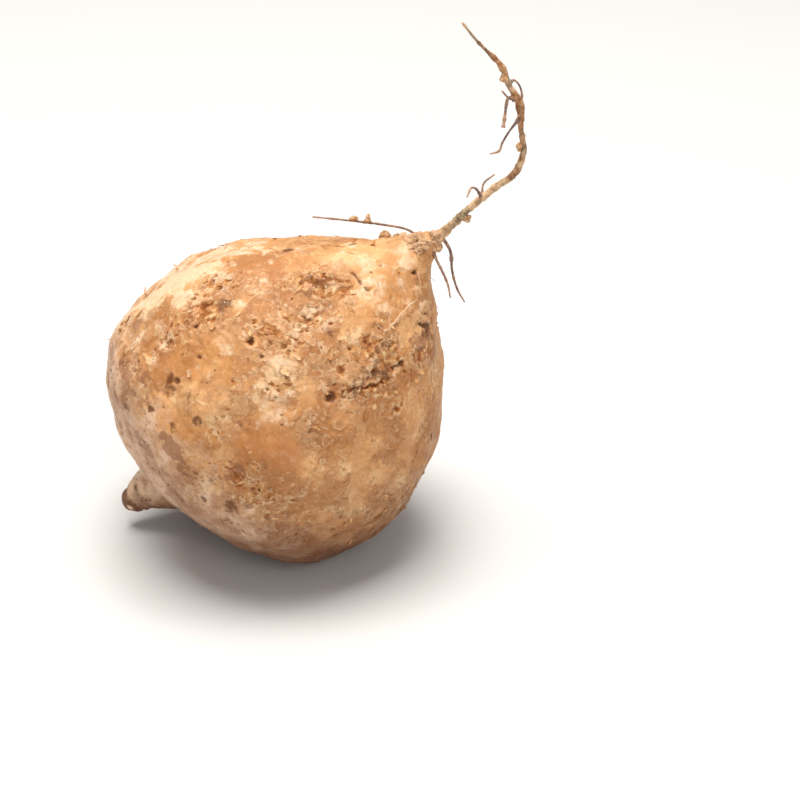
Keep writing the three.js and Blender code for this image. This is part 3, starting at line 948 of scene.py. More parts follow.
tan_tones = [
    (0.36, tint(190, 128, 74)), (0.46, tint(206, 146, 90)), (0.56, tint(222, 164, 108)),
    (0.68, tint(236, 188, 136)),
]
film = w.named("film")
amber = w.rise(w.broken(w.named("amber"), mottle, 1.6), 0.0, 0.9)
paper = w.ramp(w.noise(place, 18.0, 5.0, 0.6), tan_tones)
paper = w.mix(w.product(amber, 0.8), paper, tint(180, 114, 62))
crown_tones = w.ramp(
    w.noise(place, 10.0, 5.0, 0.6),
    [(0.38, tint(182, 136, 106)), (0.48, tint(212, 168, 136)), (0.6, tint(236, 200, 170))],
)
crown = w.rise(w.broken(w.named("crown"), mottle, 2.0), 0.1, 0.9)
paper = w.mix(w.product(crown, 0.95), paper, crown_tones)
bleach = ragged_mark("bleached", 2.4, 0.8, (0.15, 0.85), (0.02, 0.25))
paper = w.mix(w.product(bleach, 0.8), paper, tint(248, 218, 184))
filmed = w.total(film, w.product(bleach, -0.5))
clouds = w.rise(w.broken(filmed, w.noise(place, 13.0, 6.0, 0.62), 4.4), 0.3, 0.8)
paper = w.mix(w.product(clouds, 0.52), paper, tint(166, 108, 62))
pale = w.rise(w.broken(w.product(film, 0.25), w.noise(place, 9.0, 6.0, 0.62), 4.6), 0.55, 0.9)
paper = w.mix(w.product(pale, 0.6), paper, tint(242, 204, 158))
crevices = w.rise(w.noise(place, 3.8, 6.0, 0.64, 0.6), 0.61, 0.69)
paper = w.mix(w.product(crevices, w.rise(film, 0.1, 0.6), 0.75), paper, tint(130, 68, 20))
across = w.noise(w.stretched(place, (1.0, 1.0, 0.24), (0.0, tilt, 0.0)), 2.6, 4.0, 0.6)
dashes = w.product(w.rise(across, 0.57, 0.64), w.rise(w.noise(place, 8.0, 2.0), 0.4, 0.54))
paper = w.mix(w.product(dashes, w.total(w.product(crown, 0.8), 0.1)), paper, tint(132, 86, 58))
print("whole paper:", len(root_skin.node_tree.nodes), "nodes")

# %% Material: papery root skin, peeling
peel = w.group(peeling_group, Place=place)
thin = w.group(peeling_group, Place=w.stretched(place, (0.5, 0.5, 0.5), (0.4, 0.2, 0.9)), Layers=9.0)
here = w.rise(w.broken(film, w.noise(place, 12.0, 3.0), 1.6), 0.1, 0.8, 0.12, 1.0)
paper = w.painted(
    paper,
    (w.product(here, w.rise(peel["Tone"], 0.55, 0.6), 0.3), tint(176, 120, 76)),
    (w.product(here, w.fall(peel["Tone"], 0.25, 0.3), 0.25), tint(238, 198, 152)),
    # painted shadow beside each peeling sheet and painted highlight on its rim
    (w.product(here, peel["Shadow"], 0.5), tint(136, 80, 40)),
    (w.product(here, peel["Rim highlight"], 0.4), tint(250, 222, 184)),
    (w.product(here, thin["Shadow"], 0.2), tint(134, 84, 50)),
    (w.product(here, thin["Rim highlight"], 0.16), tint(250, 226, 192)),
)
print("with peeling layers:", len(root_skin.node_tree.nodes), "nodes")

# %% Material: papery root skin, worn places and marks
layer_value = w.broken(w.broken(w.named("layer"), mottle, 2.0), fleck, 0.7)
whole = w.rise(layer_value, -0.14, 0.14)
worn = w.math("SUBTRACT", 1.0, whole)
hollow = w.named("hollow")
cork = w.group(cork_group, Place=place, Depth=hollow)
# A painted highlight along the torn rim, and a painted shadow, with soil, just outside it.
torn_rim_highlight = w.product(w.peak(layer_value, 0.16, 0.16), w.rise(w.noise(place, 5.0), 0.4, 0.6))
torn_shade = w.product(w.peak(layer_value, -0.12, 0.13), w.rise(w.noise(place, 4.0), 0.36, 0.56))
coloured = w.painted(
    paper,
    (w.product(worn, 0.85), cork["Color"]),
    (w.product(torn_shade, 0.5), tint(122, 62, 20)),
    (w.product(torn_rim_highlight, 0.35), tint(250, 226, 188)),
    # painted shade in the hollows of the relief, and a painted highlight on its raised places
    (w.rise(hollow, 0.1, 1.5, 0.0, 0.55), tint(116, 60, 18)),
    (w.fall(hollow, -1.6, -0.2, 0.35, 0.0), tint(250, 224, 186)),
)
mauve_mask = ragged_mark("mauve", 4.4, 1.8, (0.4, 0.8), (0.05, 0.3))
coloured = w.mix(w.product(mauve_mask, 0.62), coloured, tint(150, 92, 60))
# stains, with painted shade in the stump's fold, pits and cracks
stain_and_shade_mask = ragged_mark("stained", 3.0, 1.6, (0.25, 1.1), (0.03, 0.25))
coloured = w.mix(w.rise(w.named("amber"), 0.82, 1.0, 0.0, 0.5), coloured, tint(196, 118, 54))
coloured = w.mix(w.product(stain_and_shade_mask, 0.85), coloured, tint(98, 46, 10))
specks = w.fall(w.broken(w.cells(place, 4.6), fleck, 0.2), 0.05, 0.12)
dots = w.product(specks, w.rise(w.noise(place, 9.0), 0.46, 0.52))
coloured = w.mix(w.product(dots, 0.75), coloured, tint(112, 54, 14))
chip_places = w.stretched(place, (1.0, 1.0, 1.0), (0.5, 0.3, 0.2))
chips = w.product(w.fall(w.cells(chip_places, 3.1), 0.08, 0.14), film)
coloured = w.mix(w.product(chips, 0.5), coloured, tint(250, 228, 194))
height_above_table = w.node("ShaderNodeSeparateXYZ", {0: place}).outputs[2]
# Darker towards the table: painted shade on the underside, with soil, less where the skin is bleached.
underside_shade_and_soil = w.fall(w.broken(height_above_table, mottle, 0.03), 0.004, 0.05, 0.9, 0.0)
underside_shade_and_soil = w.product(underside_shade_and_soil, w.fall(w.named("bleached"), 0.0, 0.5, 1.0, 0.1))
coloured = w.mix(underside_shade_and_soil, coloured, tint(104, 60, 34))
print("with worn places and marks:", len(root_skin.node_tree.nodes), "nodes")

# %% Material: papery root skin, grain and relief finer than the mesh
dusted = w.group(dust_group, Place=place, Base=coloured, Amount=0.08)
grain = w.group(grain_group, Place=place)
w.put(surface["Base Color"], w.grained(dusted["Color"], grain["Tone"], tint(214, 210, 204)))
w.put(surface["Roughness"], w.total(w.product(whole, -0.3), w.product(film, 0.12), 0.78))
height = w.total(
    w.product(grain["Height"], 0.16),
    w.product(cork["Height"], w.total(w.product(worn, 0.8), w.product(film, 0.25))),
    w.product(whole, 0.6),
    w.product(here, peel["Height"], 0.55),
    w.product(here, thin["Height"], 0.3),
    w.product(mottle, 0.5),
)
w.put(surface["Normal"], w.bump(height, 0.9, 0.00035))
print("skin finish:", len(root_skin.node_tree.nodes), "nodes")

# %% The tuber's skin
tuber_skin = finished_mesh("tuber_skin", skin_surface, skin_faces, root_skin, skin_values)
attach(tuber_skin, "root")
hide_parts("jicama_root")
print("tuber_skin:", len(tuber_skin.data.polygons), "faces")

# %% [markdown]
# ## Limbs: the stump and the taproot
#
# Both are tapering limbs along a smooth curve, in the same place and on the same course as in the
# solid. A ring of points is carried along the curve, and each point is pushed in or out by knots and
# by noise: the stump is fibrous and breaks off in a ragged end, and the taproot is knotted where
# rootlets left it.

# %% A limb with knots


def smooth_path(points, steps):
    """Evenly spaced places on the smooth curve through `points`, how many points each has passed, and
    how far along the curve it is."""
    points = np.array(points, float)
    ends = np.vstack([2 * points[0] - points[1], points, 2 * points[-1] - points[-2]])
    dense, passed = [], []
    for i in range(len(points) - 1):
        a, b, c, d = ends[i : i + 4]
        ab, bc, cd = (max(np.linalg.norm(q - p), 1e-4) ** 0.5 for p, q in ((a, b), (b, c), (c, d)))
        start = ((b - a) / ab - (c - a) / (ab + bc) + (c - b) / bc) * bc
        end = ((c - b) / bc - (d - b) / (bc + cd) + (d - c) / cd) * bc
        dense.append(span(b, c, start, end))
        passed.append(i + SPAN_SHARES[:, 0])
    dense = np.vstack([*dense, points[-1:]])
    passed = np.append(np.concatenate(passed), len(points) - 1)
    lengths = np.concatenate([[0], np.cumsum(np.linalg.norm(np.diff(dense, axis=0), axis=1))])
    even = np.linspace(0, lengths[-1], steps + 1)
    path = np.stack([np.interp(even, lengths, dense[:, i]) for i in range(3)], 1)
    return path, np.interp(even, lengths, passed), even


def radius_after(radii, passed):
    """The radius after so many points of a course, eased from each point's radius to the next."""
    last = len(radii) - 1
    return eased_value([[i / last, r] for i, r in enumerate(radii)], passed / last)


def limb(points, radii, sides, steps, shape):
    """Points, faces and share of the way for a closed limb with a round tip. `shape(places, share,
    radius)` says how far each point moves out, in millimetres."""
    path, passed, lengths = smooth_path(points, steps)
    radius = radius_after(radii, passed)
    into_tip = np.clip(1 - (lengths[-1] - lengths) / radii[-1], 0, 0.999)
    radius = radius * np.sqrt(1 - into_tip**2)
    ahead = unit(np.gradient(path, axis=0))
    side = unit(np.cross(ahead[0], (0.0, 1.0, 0.2)))
    rings, outs = [], []
    turn = np.linspace(0, 2 * math.pi, sides, endpoint=False)[:, None]
    for spot, forward, r in zip(path, ahead, radius):
        side = unit(side - forward * (side @ forward))
        out = side * np.cos(turn) + np.cross(forward, side) * np.sin(turn)
        rings.append(spot + out * r)
        outs.append(out)
    share = np.repeat(lengths / lengths[-1], sides)
    places, outs = np.concatenate(rings), np.concatenate(outs)
    tapered = np.repeat(np.sqrt(1 - into_tip**2), sides)
    out_by = shape(places, share, np.repeat(radius, sides)) * tapered
    places += outs * out_by[:, None]
    places = np.vstack([places, places[:sides].mean(0), places[-sides:].mean(0)])
    here = np.arange(steps * sides).reshape(steps, sides)
    along_ring = np.roll(here, -1, axis=1)
    faces = np.stack([here, along_ring, along_ring + sides, here + sides], -1).reshape(-1, 4).tolist()
    bottom, top, tip_ring = len(places) - 2, len(places) - 1, steps * sides
    faces += [(bottom, (i + 1) % sides, i) for i in range(sides)]
    faces += [(top, tip_ring + i, tip_ring + (i + 1) % sides) for i in range(sides)]
    return places, faces, np.append(share, [0.0, 1.0])


_, _, measured = smooth_path([[0, 0, 0], [10, 0, 0], [20, 10, 0]], 20)
print("a bent test path is", round(float(measured[-1]), 1), "mm long")

# %% [markdown]
# ## The stump of the stem
#
# The stem broke off short. What is left swells out of the crown as a blunt cone, tan and pale on its
# upper side, where painted light lies, darker below, where painted shade lies, and dark with old bark
# towards its tip, where it ends in a ragged break with a pale spot of wood. It is a limb with
# lengthwise ribs, the ring of an old leaf scar and a frayed end. It wears the skin's own finish, since
# its skin goes on from the crown's, with marks of its own.

# %% Stem stump
STUMP_POINTS = [
    [-27, 5, 25.5], [-35, 4, 21], [-43, 4, 16.6], [-50, 3, 13.2], [-55.5, 2, 9.8], [-59, 1, 7.2],
]
STUMP_RADII = [13, 11.3, 9, 6, 4.3, 2.7]
STUMP_SIDES, STUMP_RINGS = 84, 110
PALE_SPOT = (-56.8, -1.7, 8.8)  # on the lying stump, where bare wood shows


def stump_shape(places, share, radius):
    """How far the stump's skin stands out: ribs, lumps, a leaf scar and a frayed end."""
    ribs = 0.45 * hills(places * (0.35, 1, 1), 3.0, 101) * rise(share, 0.3, 0.7)
    lumps = 0.6 * hills(places, 6.5, 102) + 0.22 * hills(places, 2.4, 103)
    scars = 0.45 * np.exp(-(((share - 0.85 - 0.02 * hills(places, 4, 104)) / 0.016) ** 2))
    frayed = 0.3 * hills(places, 1.5, 105) * rise(share, 0.95, 1.0)
    return ribs + lumps + scars + frayed + 0.2 + 1.6 * rise(-share, -0.91, -0.6)


stump_points, stump_faces, stump_way = limb(
    STUMP_POINTS, STUMP_RADII, STUMP_SIDES, STUMP_RINGS, stump_shape
)
stump_points = kept_in_box(stump_points)
# Painted light and shade: the stump's lower side (under) is painted darker, with less bleach and more
# mauve, so its upper side shows paler, as if lit.
under = rise(-stump_points[:, 2], -17, -8)
old_wood = rise(hills(stump_points, 5, 107), -0.4, 0.2) * rise(stump_way, 0.72, 0.8)
pale_spot = np.exp(-((np.linalg.norm(stump_points - PALE_SPOT, axis=1) / 1.2) ** 4))
old_tip = rise(stump_way + 0.05 * hills(stump_points, 4, 108), 0.84, 0.92)
dark_specks = 0.62 * old_tip * rise(hills(stump_points, 2.6, 109), -0.5, 0.3)
dry_skin_lit_on_top = 0.5 * (1 - 0.7 * under) * (1 - 0.6 * old_wood) * (1 - 0.8 * old_tip)
stump_values = {
    "layer": np.full(len(stump_points), 1.4),
    # hollow follows the stump's small lumps, so the finish paints shade into their dips and highlight
    # onto their tops
    "hollow": -0.8 * hills(stump_points, 2.4, 103) * rise(stump_way, 0.6, 0.9),
    "bleached": dry_skin_lit_on_top + 0.7 * pale_spot,
    "amber": np.zeros(len(stump_points)),
    "stained": (0.5 * old_wood + dark_specks) * (1 - pale_spot),
    # mauve below is painted shade; mauve at the tip is the old bark's colour
    "mauve": np.maximum(0.6 * under, 0.7 * old_tip) * (1 - pale_spot),
    "crown": np.ones(len(stump_points)),
    "film": np.zeros(len(stump_points)),
}
stem_stump = finished_mesh("stem_stump", stump_points, stump_faces, root_skin, stump_values)
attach(stem_stump, "root")
print("stem_stump:", len(stem_stump.data.polygons), "faces")

# %% [markdown]
# ## The taproot and its collar
#
# The neck of the tuber ends in a gnarled collar, from which the taproot rises, bends over itself and
# thins to a blunt tip. Its colour changes all along: tan at the base, pale yellow-brown, a dark grey
# band, then knots of orange and reddish brown, with painted shade in its crevices and painted
# highlight on its lumps. Named stretches of the way from base (0) to tip (1) carry those changes.
#
# The collar is a cluster of crusted lumps: a large one where the solid has its lump, smaller ones
# against it, and knobs sunk into the rim of the neck.

# %% Material: bark of the taproot and its collar
bark, w, surface = new_material("dry_root_bark", 0.82)
place = w.place()
fibres = w.noise(place, 1.4, 6.0, 0.7)
blotch = w.noise(place, 3.8, 6.0, 0.68)
young_tones = [(0.32, tint(162, 130, 96)), (0.46, tint(196, 160, 120)), (0.58, tint(224, 188, 150))]
old_tones = [(0.34, tint(96, 62, 44)), (0.5, tint(136, 90, 62)), (0.66, tint(180, 134, 98))]
hollow = w.named("hollow")
bark_colour = w.painted(
    w.ramp(blotch, young_tones),
    (w.rise(w.broken(w.named("aged"), fibres, 1.2), 0.3, 0.8), w.ramp(blotch, old_tones)),
    (w.product(w.named("ochre"), 0.55), tint(196, 126, 70)),
    (w.product(w.named("beige"), 0.85), tint(226, 184, 148)),
    (w.product(w.named("grey"), 0.75), tint(134, 124, 102)),
    # painted shade in the hollows of the bark and painted highlight on its lumps
    (w.rise(hollow, 0.2, 1.3, 0.0, 0.55), tint(96, 64, 42)),
    (w.fall(hollow, -1.4, -0.2, 0.5, 0.0), tint(240, 208, 170)),
)
dusted = w.group(dust_group, Place=place, Base=bark_colour, Amount=0.3)
grain = w.group(grain_group, Place=place, Coarse=1500.0, Fine=4200.0)
w.put(surface["Base Color"], w.grained(dusted["Color"], grain["Tone"], tint(196, 192, 186)))
w.put(surface["Roughness"], w.rise(blotch, 0.3, 0.7, 0.9, 0.72))
height = w.total(w.product(fibres, 0.8), w.product(grain["Height"], 0.5))
w.put(surface["Normal"], w.bump(height, 0.8, 0.0003))
print("bark:", len(bark.node_tree.nodes), "nodes")

# %% Taproot
TAPROOT_POINTS = [
    [37, 2, 96.6], [45.5, 2, 105.1], [54, 1, 114.1], [62, 4, 119.9], [67.5, 6.5, 123.1],
    [70.3, 8, 129.1], [69.3, 7, 137.6], [68.4, 5, 146.4], [65.2, 4, 152.2], [62.8, 2.5, 158.4],
    [55.2, 1, 166.8], [50.6, -3, 173.6],
]
TAPROOT_RADII = [3.1, 1.4, 1.15, 1.05, 1.15, 1.05, 0.85, 1.25, 0.8, 0.85, 0.45, 0.35]
TAPROOT_SIDES, TAPROOT_RINGS = 20, 520
KNOTS = [
    # share of the way, reach, height
    (0.13, 0.02, 0.5), (0.2, 0.012, 0.3), (0.3, 0.01, 0.35), (0.345, 0.012, 0.3),
    (0.43, 0.012, 0.25), (0.5, 0.008, 0.2), (0.545, 0.006, 0.3), (0.6, 0.008, 0.35),
    (0.64, 0.012, 0.5), (0.69, 0.012, 0.35), (0.735, 0.01, 0.45), (0.79, 0.014, 0.55),
    (0.835, 0.012, 0.5), (0.9, 0.006, 0.35), (0.985, 0.008, 0.2),
]


def taproot_shape(places, share, radius):
    """How far the taproot's bark stands out: one-sided knots and lumps that thin with the root."""
    knots = sum(height * np.exp(-(((share - at) / reach) ** 2)) for at, reach, height in KNOTS)
    bark_lumps = radius * (0.22 * hills(places, 1.6, 111) + 0.14 * hills(places, 0.8, 112))
    one_sided = 0.6 + 0.4 * hills(places, 2.4, 113)
    return 0.75 * knots * one_sided + bark_lumps - 0.04


taproot_points, taproot_faces, taproot_way = limb(
    TAPROOT_POINTS, TAPROOT_RADII, TAPROOT_SIDES, TAPROOT_RINGS, taproot_shape
)
taproot_points = kept_in_box(taproot_points)


def stretch(way, *places):
    """1 on the named stretches of the way: (middle, half length) each."""
    return np.max([np.exp(-(((way - middle) / half) ** 4)) for middle, half in places], axis=0)


taproot_values = {
    "aged": 0.95 * stretch(taproot_way, (0.42, 0.03), (0.63, 0.06), (0.86, 0.06))
    + 0.15 * rise(hills(taproot_points, 4, 114), 0.1, 0.6),
    "ochre": 0.95 * stretch(taproot_way, (0.59, 0.05), (0.68, 0.03), (0.8, 0.04))
    + 0.15 * rise(hills(taproot_points, 5, 115), 0, 0.6),
    "beige": 0.7 * stretch(taproot_way, (0.06, 0.06), (0.3, 0.04), (0.975, 0.02)),
    "grey": 0.95 * stretch(taproot_way, (0.2, 0.035), (0.5, 0.015), (0.74, 0.02), (0.935, 0.02))
    + 0.4 * rise(hills(taproot_points, 4, 116), 0, 0.5),
    # hollow follows the bark lumps, so the finish paints shade into their dips and highlight onto their
    # tops
    "hollow": -2.6 * hills(taproot_points, 1.6, 111),
}
taproot = finished_mesh("taproot", taproot_points, taproot_faces, bark, taproot_values)
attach(taproot, "root")
print("taproot:", len(taproot.data.polygons), "faces")

# %% Lumps: a ball of even faces, swollen and crusted
LUMP_BUMPS, LUMP_BANDS = 0.16, 0.1  # how far a lump swells and shrinks, as a share of its size


def crusted_lump(centre, size, seed, divisions, crust):
    """A lump as in the solid, its skin broken up by `crust` millimetres of noise: its points, its
    faces, and how hollow each point is."""
    directions, faces = cube_ball(divisions)
    across, back, up = directions.T
    swell = 1 + LUMP_BUMPS * np.sin(3.1 * across + seed) * np.cos(2.7 * back - seed)
    swell += LUMP_BANDS * np.sin(5.3 * up + 2 * seed)
    places = np.array(centre) + directions * swell[:, None] * np.array(size)
    rough = crust * (rough_hills(places, 1.8, seed + 200, layers=3, fall=0.6) - 0.35)
    if np.einsum("ij,ij->i", face_normals_summed(places, faces), directions).mean() < 0:
        faces = faces[:, ::-1]
    return places + directions * rough[:, None], faces, -1.25 * rough / crust


print("a lump of 16 divisions has", len(cube_ball(16)[1]), "faces")

# %% Collar of the neck
COLLAR_DIVISIONS, COLLAR_CRUST = 22, 0.65
KNOB_SUNK = 3.1  # how deep a knob at the very end of the neck sits in it
COLLAR_LUMPS = [
    # centre, half sizes, seed
    ((41.8, 2, 103), (4.0, 3.6, 2.8), 3), ((37.6, 3.2, 103.3), (3.4, 2.8, 1.7), 4),
    ((33.8, 4.8, 102.4), (2.4, 2.2, 1.3), 5), ((43.8, 1.2, 105.1), (2.0, 1.9, 1.7), 6),
    ((44.2, 0.6, 101.4), (1.8, 1.8, 1.6), 7), ((39.4, -0.4, 102.6), (2.4, 2.2, 1.6), 8),
]
NECK_KNOBS = [
    # along, around, half sizes, seed
    (0.955, 262, (2.0, 1.6, 1.1), 61), (0.97, 285, (2.0, 1.8, 1.3), 62),
    (0.975, 312, (2.2, 1.8, 1.4), 63), (0.975, 250, (1.6, 1.8, 1.3), 64),
    (0.98, 335, (2.0, 1.6, 1.5), 65), (0.93, 270, (1.7, 1.2, 0.9), 66),
    (0.98, 290, (2.2, 2.0, 1.5), 67), (0.97, 350, (1.4, 1.2, 1.2), 68),
]
for along, around, size, seed in NECK_KNOBS:
    spot = on_tuber(along, around)
    inwards = -unit(spot * (1, 1, 0.4))
    sunk = lie_down(spot + KNOB_SUNK * rise(along, 0.9, 0.97) * inwards)
    COLLAR_LUMPS.append((sunk, size, seed))
parts = [crusted_lump(*lump, COLLAR_DIVISIONS, COLLAR_CRUST) for lump in COLLAR_LUMPS]
starts = np.cumsum([0] + [len(points) for points, _, _ in parts])
collar_points = np.vstack([points for points, _, _ in parts])
collar_faces = np.vstack([faces + start for (_, faces, _), start in zip(parts, starts)])
collar_values = {
    "aged": 0.3 * rise(hills(collar_points, 3, 121), 0.2, 0.8),
    "ochre": 0.45 + 0.3 * hills(collar_points, 3, 122),
    "beige": 0.4 + 0.35 * hills(collar_points, 2.6, 124),
    "grey": 0.15 * rise(hills(collar_points, 4, 123), 0.4, 0.8),
    # how sunk each point of the crust is, which the finish paints darker as shade
    "hollow": 0.7 * np.concatenate([hollow for _, _, hollow in parts]),
}
neck_collar = finished_mesh("neck_collar", collar_points, collar_faces, bark, collar_values)
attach(neck_collar, "root")
print("neck_collar:", len(neck_collar.data.polygons), "faces")

# %% [markdown]
# ## Rootlets, grown along curves by Geometry Nodes
#
# Nine thin rootlets branch from the neck and the taproot, and one of them reaches back over the
# tuber. One more lies on the skin with two side shoots, and two short spikes and a fibre in a pit
# stand on it. They differ only in their course and thickness, so one tree of geometry nodes makes
# them all: it walks along a curve, swells it here and there into small nodes, gives it a round
# section and wrinkles it. Each course is a short list of points, each with its own radius.

# %% Courses of the rootlets
ROOTLETS = {
    # name: (places in millimetres, radii)
    "over_tuber": (
        [[40, 3, 102.1], [35.2, 7, 104.4], [27, 9, 105.4], [16.1, 10, 106.4], [5.5, 7, 108.8]],
        [0.65, 0.45, 0.45, 0.4, 0.3],
    ),
    "hanging_left": (
        [[42, 1, 101.6], [44.1, -2, 97.8], [45.6, -4, 95.4], [47.4, -6, 91.6], [48.2, -7, 87.6]],
        [0.7, 0.5, 0.45, 0.4, 0.3],
    ),
    "hanging_right": (
        [[45.6, 2, 104.2], [48.2, 1, 99.9], [48.8, 0, 93.9], [50.4, 1, 87.3], [53, 4, 81.1]],
        [0.75, 0.6, 0.5, 0.4, 0.3],
    ),
    "low_curl": (
        [[57.6, 2, 117.2], [55.8, 0, 120.8], [54.2, -2, 121.9], [52.9, -4, 119.8]],
        [0.6, 0.4, 0.35, 0.3],
    ),
    "low_twig": ([[57.8, 2.6, 117.2], [58.2, 5, 120.5], [61.6, 8, 122.4]], [0.5, 0.35, 0.3]),
    "long_branch": (
        [[68.6, 6, 141], [65.8, 3, 138.6], [63.4, 1, 135.2], [62.5, 0, 133.1], [59.7, -1, 132.5]],
        [0.7, 0.4, 0.4, 0.45, 0.3],
    ),
    "crusty_branch": (
        [[68, 5, 147.2], [65, 3, 148.7], [64.3, 2, 146.2], [63.9, 1, 143], [63.5, 0, 140.4]],
        [0.8, 0.45, 0.4, 0.6, 0.4],
    ),
    "fork_twig": ([[65.4, 3.4, 148.2], [64, 2.6, 149.8], [63, 2, 151.2]], [0.45, 0.35, 0.3]),
    "loop": (
        [[65.4, 4, 153.2], [66.8, 6, 153.2], [68.6, 7.4, 150.8], [69.3, 7, 148], [68.6, 5.4, 145.6]],
        [0.6, 0.4, 0.35, 0.4, 0.5],
    ),
}

print("rootlets:", ", ".join(ROOTLETS))

# %% Material: rootlet skin
rootlet_skin, w, surface = new_material("rootlet_skin", 0.8)
place = w.place()
patch = w.noise(place, 5.5, 5.0, 0.65)
patch_tones = [
    (0.36, tint(104, 76, 74)), (0.47, tint(134, 104, 102)), (0.56, tint(156, 118, 98)),
    (0.66, tint(208, 164, 130)),
]
rootlet_colour = w.painted(
    w.ramp(patch, patch_tones),
    (w.rise(w.named("tip"), 0.55, 1.0, 0.0, 0.6), tint(222, 172, 142)),
    (w.named("pale"), tint(246, 200, 154)),
)
dusted = w.group(dust_group, Place=place, Base=rootlet_colour, Amount=0.35)
grain = w.group(grain_group, Place=place, Coarse=2000.0, Fine=5000.0)
w.put(surface["Base Color"], w.grained(dusted["Color"], grain["Tone"], tint(170, 170, 170), 0.6))
w.put(surface["Normal"], w.bump(grain["Height"], 0.7, 0.0002))
print("rootlet skin:", len(rootlet_skin.node_tree.nodes), "nodes")

# %% Geometry Nodes: a rootlet along a curve


def new_geometry_tree(name, inputs):
    """A geometry node tree with a geometry input and output and named value inputs."""
    everything = [("Geometry", "Geometry", None), *inputs]
    return new_group(name, everything, [("Geometry", "Geometry")], "GeometryNodeTree")


def stored(w, geometry, name, value, domain="POINT"):
    """The geometry with a value stored at each of its points or instances under this name."""
    values = {"Geometry": geometry, "Name": name, "Value": value}
    kept = w.node("GeometryNodeStoreNamedAttribute", values, data_type="FLOAT", domain=domain)
    return kept.outputs[0]


def dressed(w, geometry, material):
    """The geometry with a material on every face."""
    values = {"Geometry": geometry, "Material": material}
    return w.node("GeometryNodeSetMaterial", values).outputs[0]


def grown(name, start, tree, values, body="root"):
    """Lets a geometry tree with these input values work on the object `start`, and keeps the result
    as a plain mesh piece."""
    modifier = start.modifiers.new("grow", "NODES")
    modifier.node_group = tree
    for item in tree.interface.items_tree:
        if item.in_out == "INPUT" and item.name in values:
            modifier[item.identifier] = values[item.name]
    evaluated = start.evaluated_get(bpy.context.evaluated_depsgraph_get())
    mesh = bpy.data.meshes.new_from_object(evaluated)
    mesh.name = name
    bpy.data.objects.remove(start)
    piece = add_to_scene(name, mesh)
    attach(piece, body)
    print(f"{name}: {len(mesh.polygons)} faces")


rootlet_tree, w, given, out = new_geometry_tree(
    "rootlet_along_curve",
    [
        ("Step", "Float", 0.0004), ("Knot size", "Float", 0.4), ("Wrinkle", "Float", 0.00012),
        ("Sides", "Int", 8), ("Seed", "Float", 0.0), ("Paleness", "Float", 0.0),
        ("Skin", "Material", None),
    ],
)
even_steps = {"Curve": given["Geometry"], "Length": given["Step"]}
walked = w.node("GeometryNodeResampleCurve", even_steps, mode="LENGTH").outputs[0]
progress = w.node("GeometryNodeSplineParameter").outputs["Factor"]
kept = stored(w, stored(w, walked, "tip", progress), "pale", given["Paleness"])
spot = w.node("GeometryNodeInputPosition").outputs[0]
moved = w.vector("ADD", spot, given["Seed"])
swelling = w.node("ShaderNodeTexNoise", {"Vector": moved, "Scale": 420.0, "Detail": 2.0}).outputs["Fac"]
factor = w.math("ADD", w.product(w.rise(swelling, 0.45, 0.75), given["Knot size"]), 0.82)
thickness = w.product(w.node("GeometryNodeInputRadius").outputs[0], factor)
circle = {"Resolution": given["Sides"], "Radius": 1.0}
profile = w.node("GeometryNodeCurvePrimitiveCircle", circle).outputs[0]
swept = {"Curve": kept, "Profile Curve": profile, "Scale": thickness, "Fill Caps": True}
tube = w.node("GeometryNodeCurveToMesh", swept).outputs[0]
ripple = w.node("ShaderNodeTexNoise", {"Vector": moved, "Scale": 1600.0, "Detail": 2.0}).outputs["Fac"]
lift = w.product(w.math("SUBTRACT", ripple, 0.55), given["Wrinkle"])
outwards_there = w.node("GeometryNodeInputNormal").outputs[0]
push_by = {0: outwards_there, "Scale": lift}
push = w.node("ShaderNodeVectorMath", push_by, operation="SCALE").outputs[0]
wrinkled = w.node("GeometryNodeSetPosition", {"Geometry": tube, "Offset": push}).outputs[0]
smooth = w.node("GeometryNodeSetShadeSmooth", {"Geometry": wrinkled}).outputs[0]
real = w.node("GeometryNodeRealizeInstances", {"Geometry": smooth}).outputs[0]
w.put(out["Geometry"], dressed(w, real, given["Skin"]))
print("rootlet tree:", len(rootlet_tree.nodes), "nodes")

# %% Rootlets
STEPS_PER_SPAN = 12
KNOT_SIZE, LARGE_KNOTS = 0.45, 1.1
KNOTTY = ("crusty_branch", "laid_over_skin")  # the rootlets with large knots
LAID_PALENESS = 0.8  # those that lie on the skin are dried out and pale


def course(name, points, radii):
    """A curve object through evenly spaced places, each with its radius, in metres."""
    path, passed, _ = smooth_path(points, STEPS_PER_SPAN * (len(points) - 1))
    radius = eased_value([[i, r] for i, r in enumerate(radii)], passed)
    data = bpy.data.curves.new(name, "CURVE")
    data.dimensions = "3D"
    spline = data.splines.new("POLY")
    spline.points.add(len(path) - 1)
    for point, spot, r in zip(spline.points, path * MM, radius * MM):
        point.co = (*spot, 1.0)
        point.radius = r
    return add_to_scene(name, data)


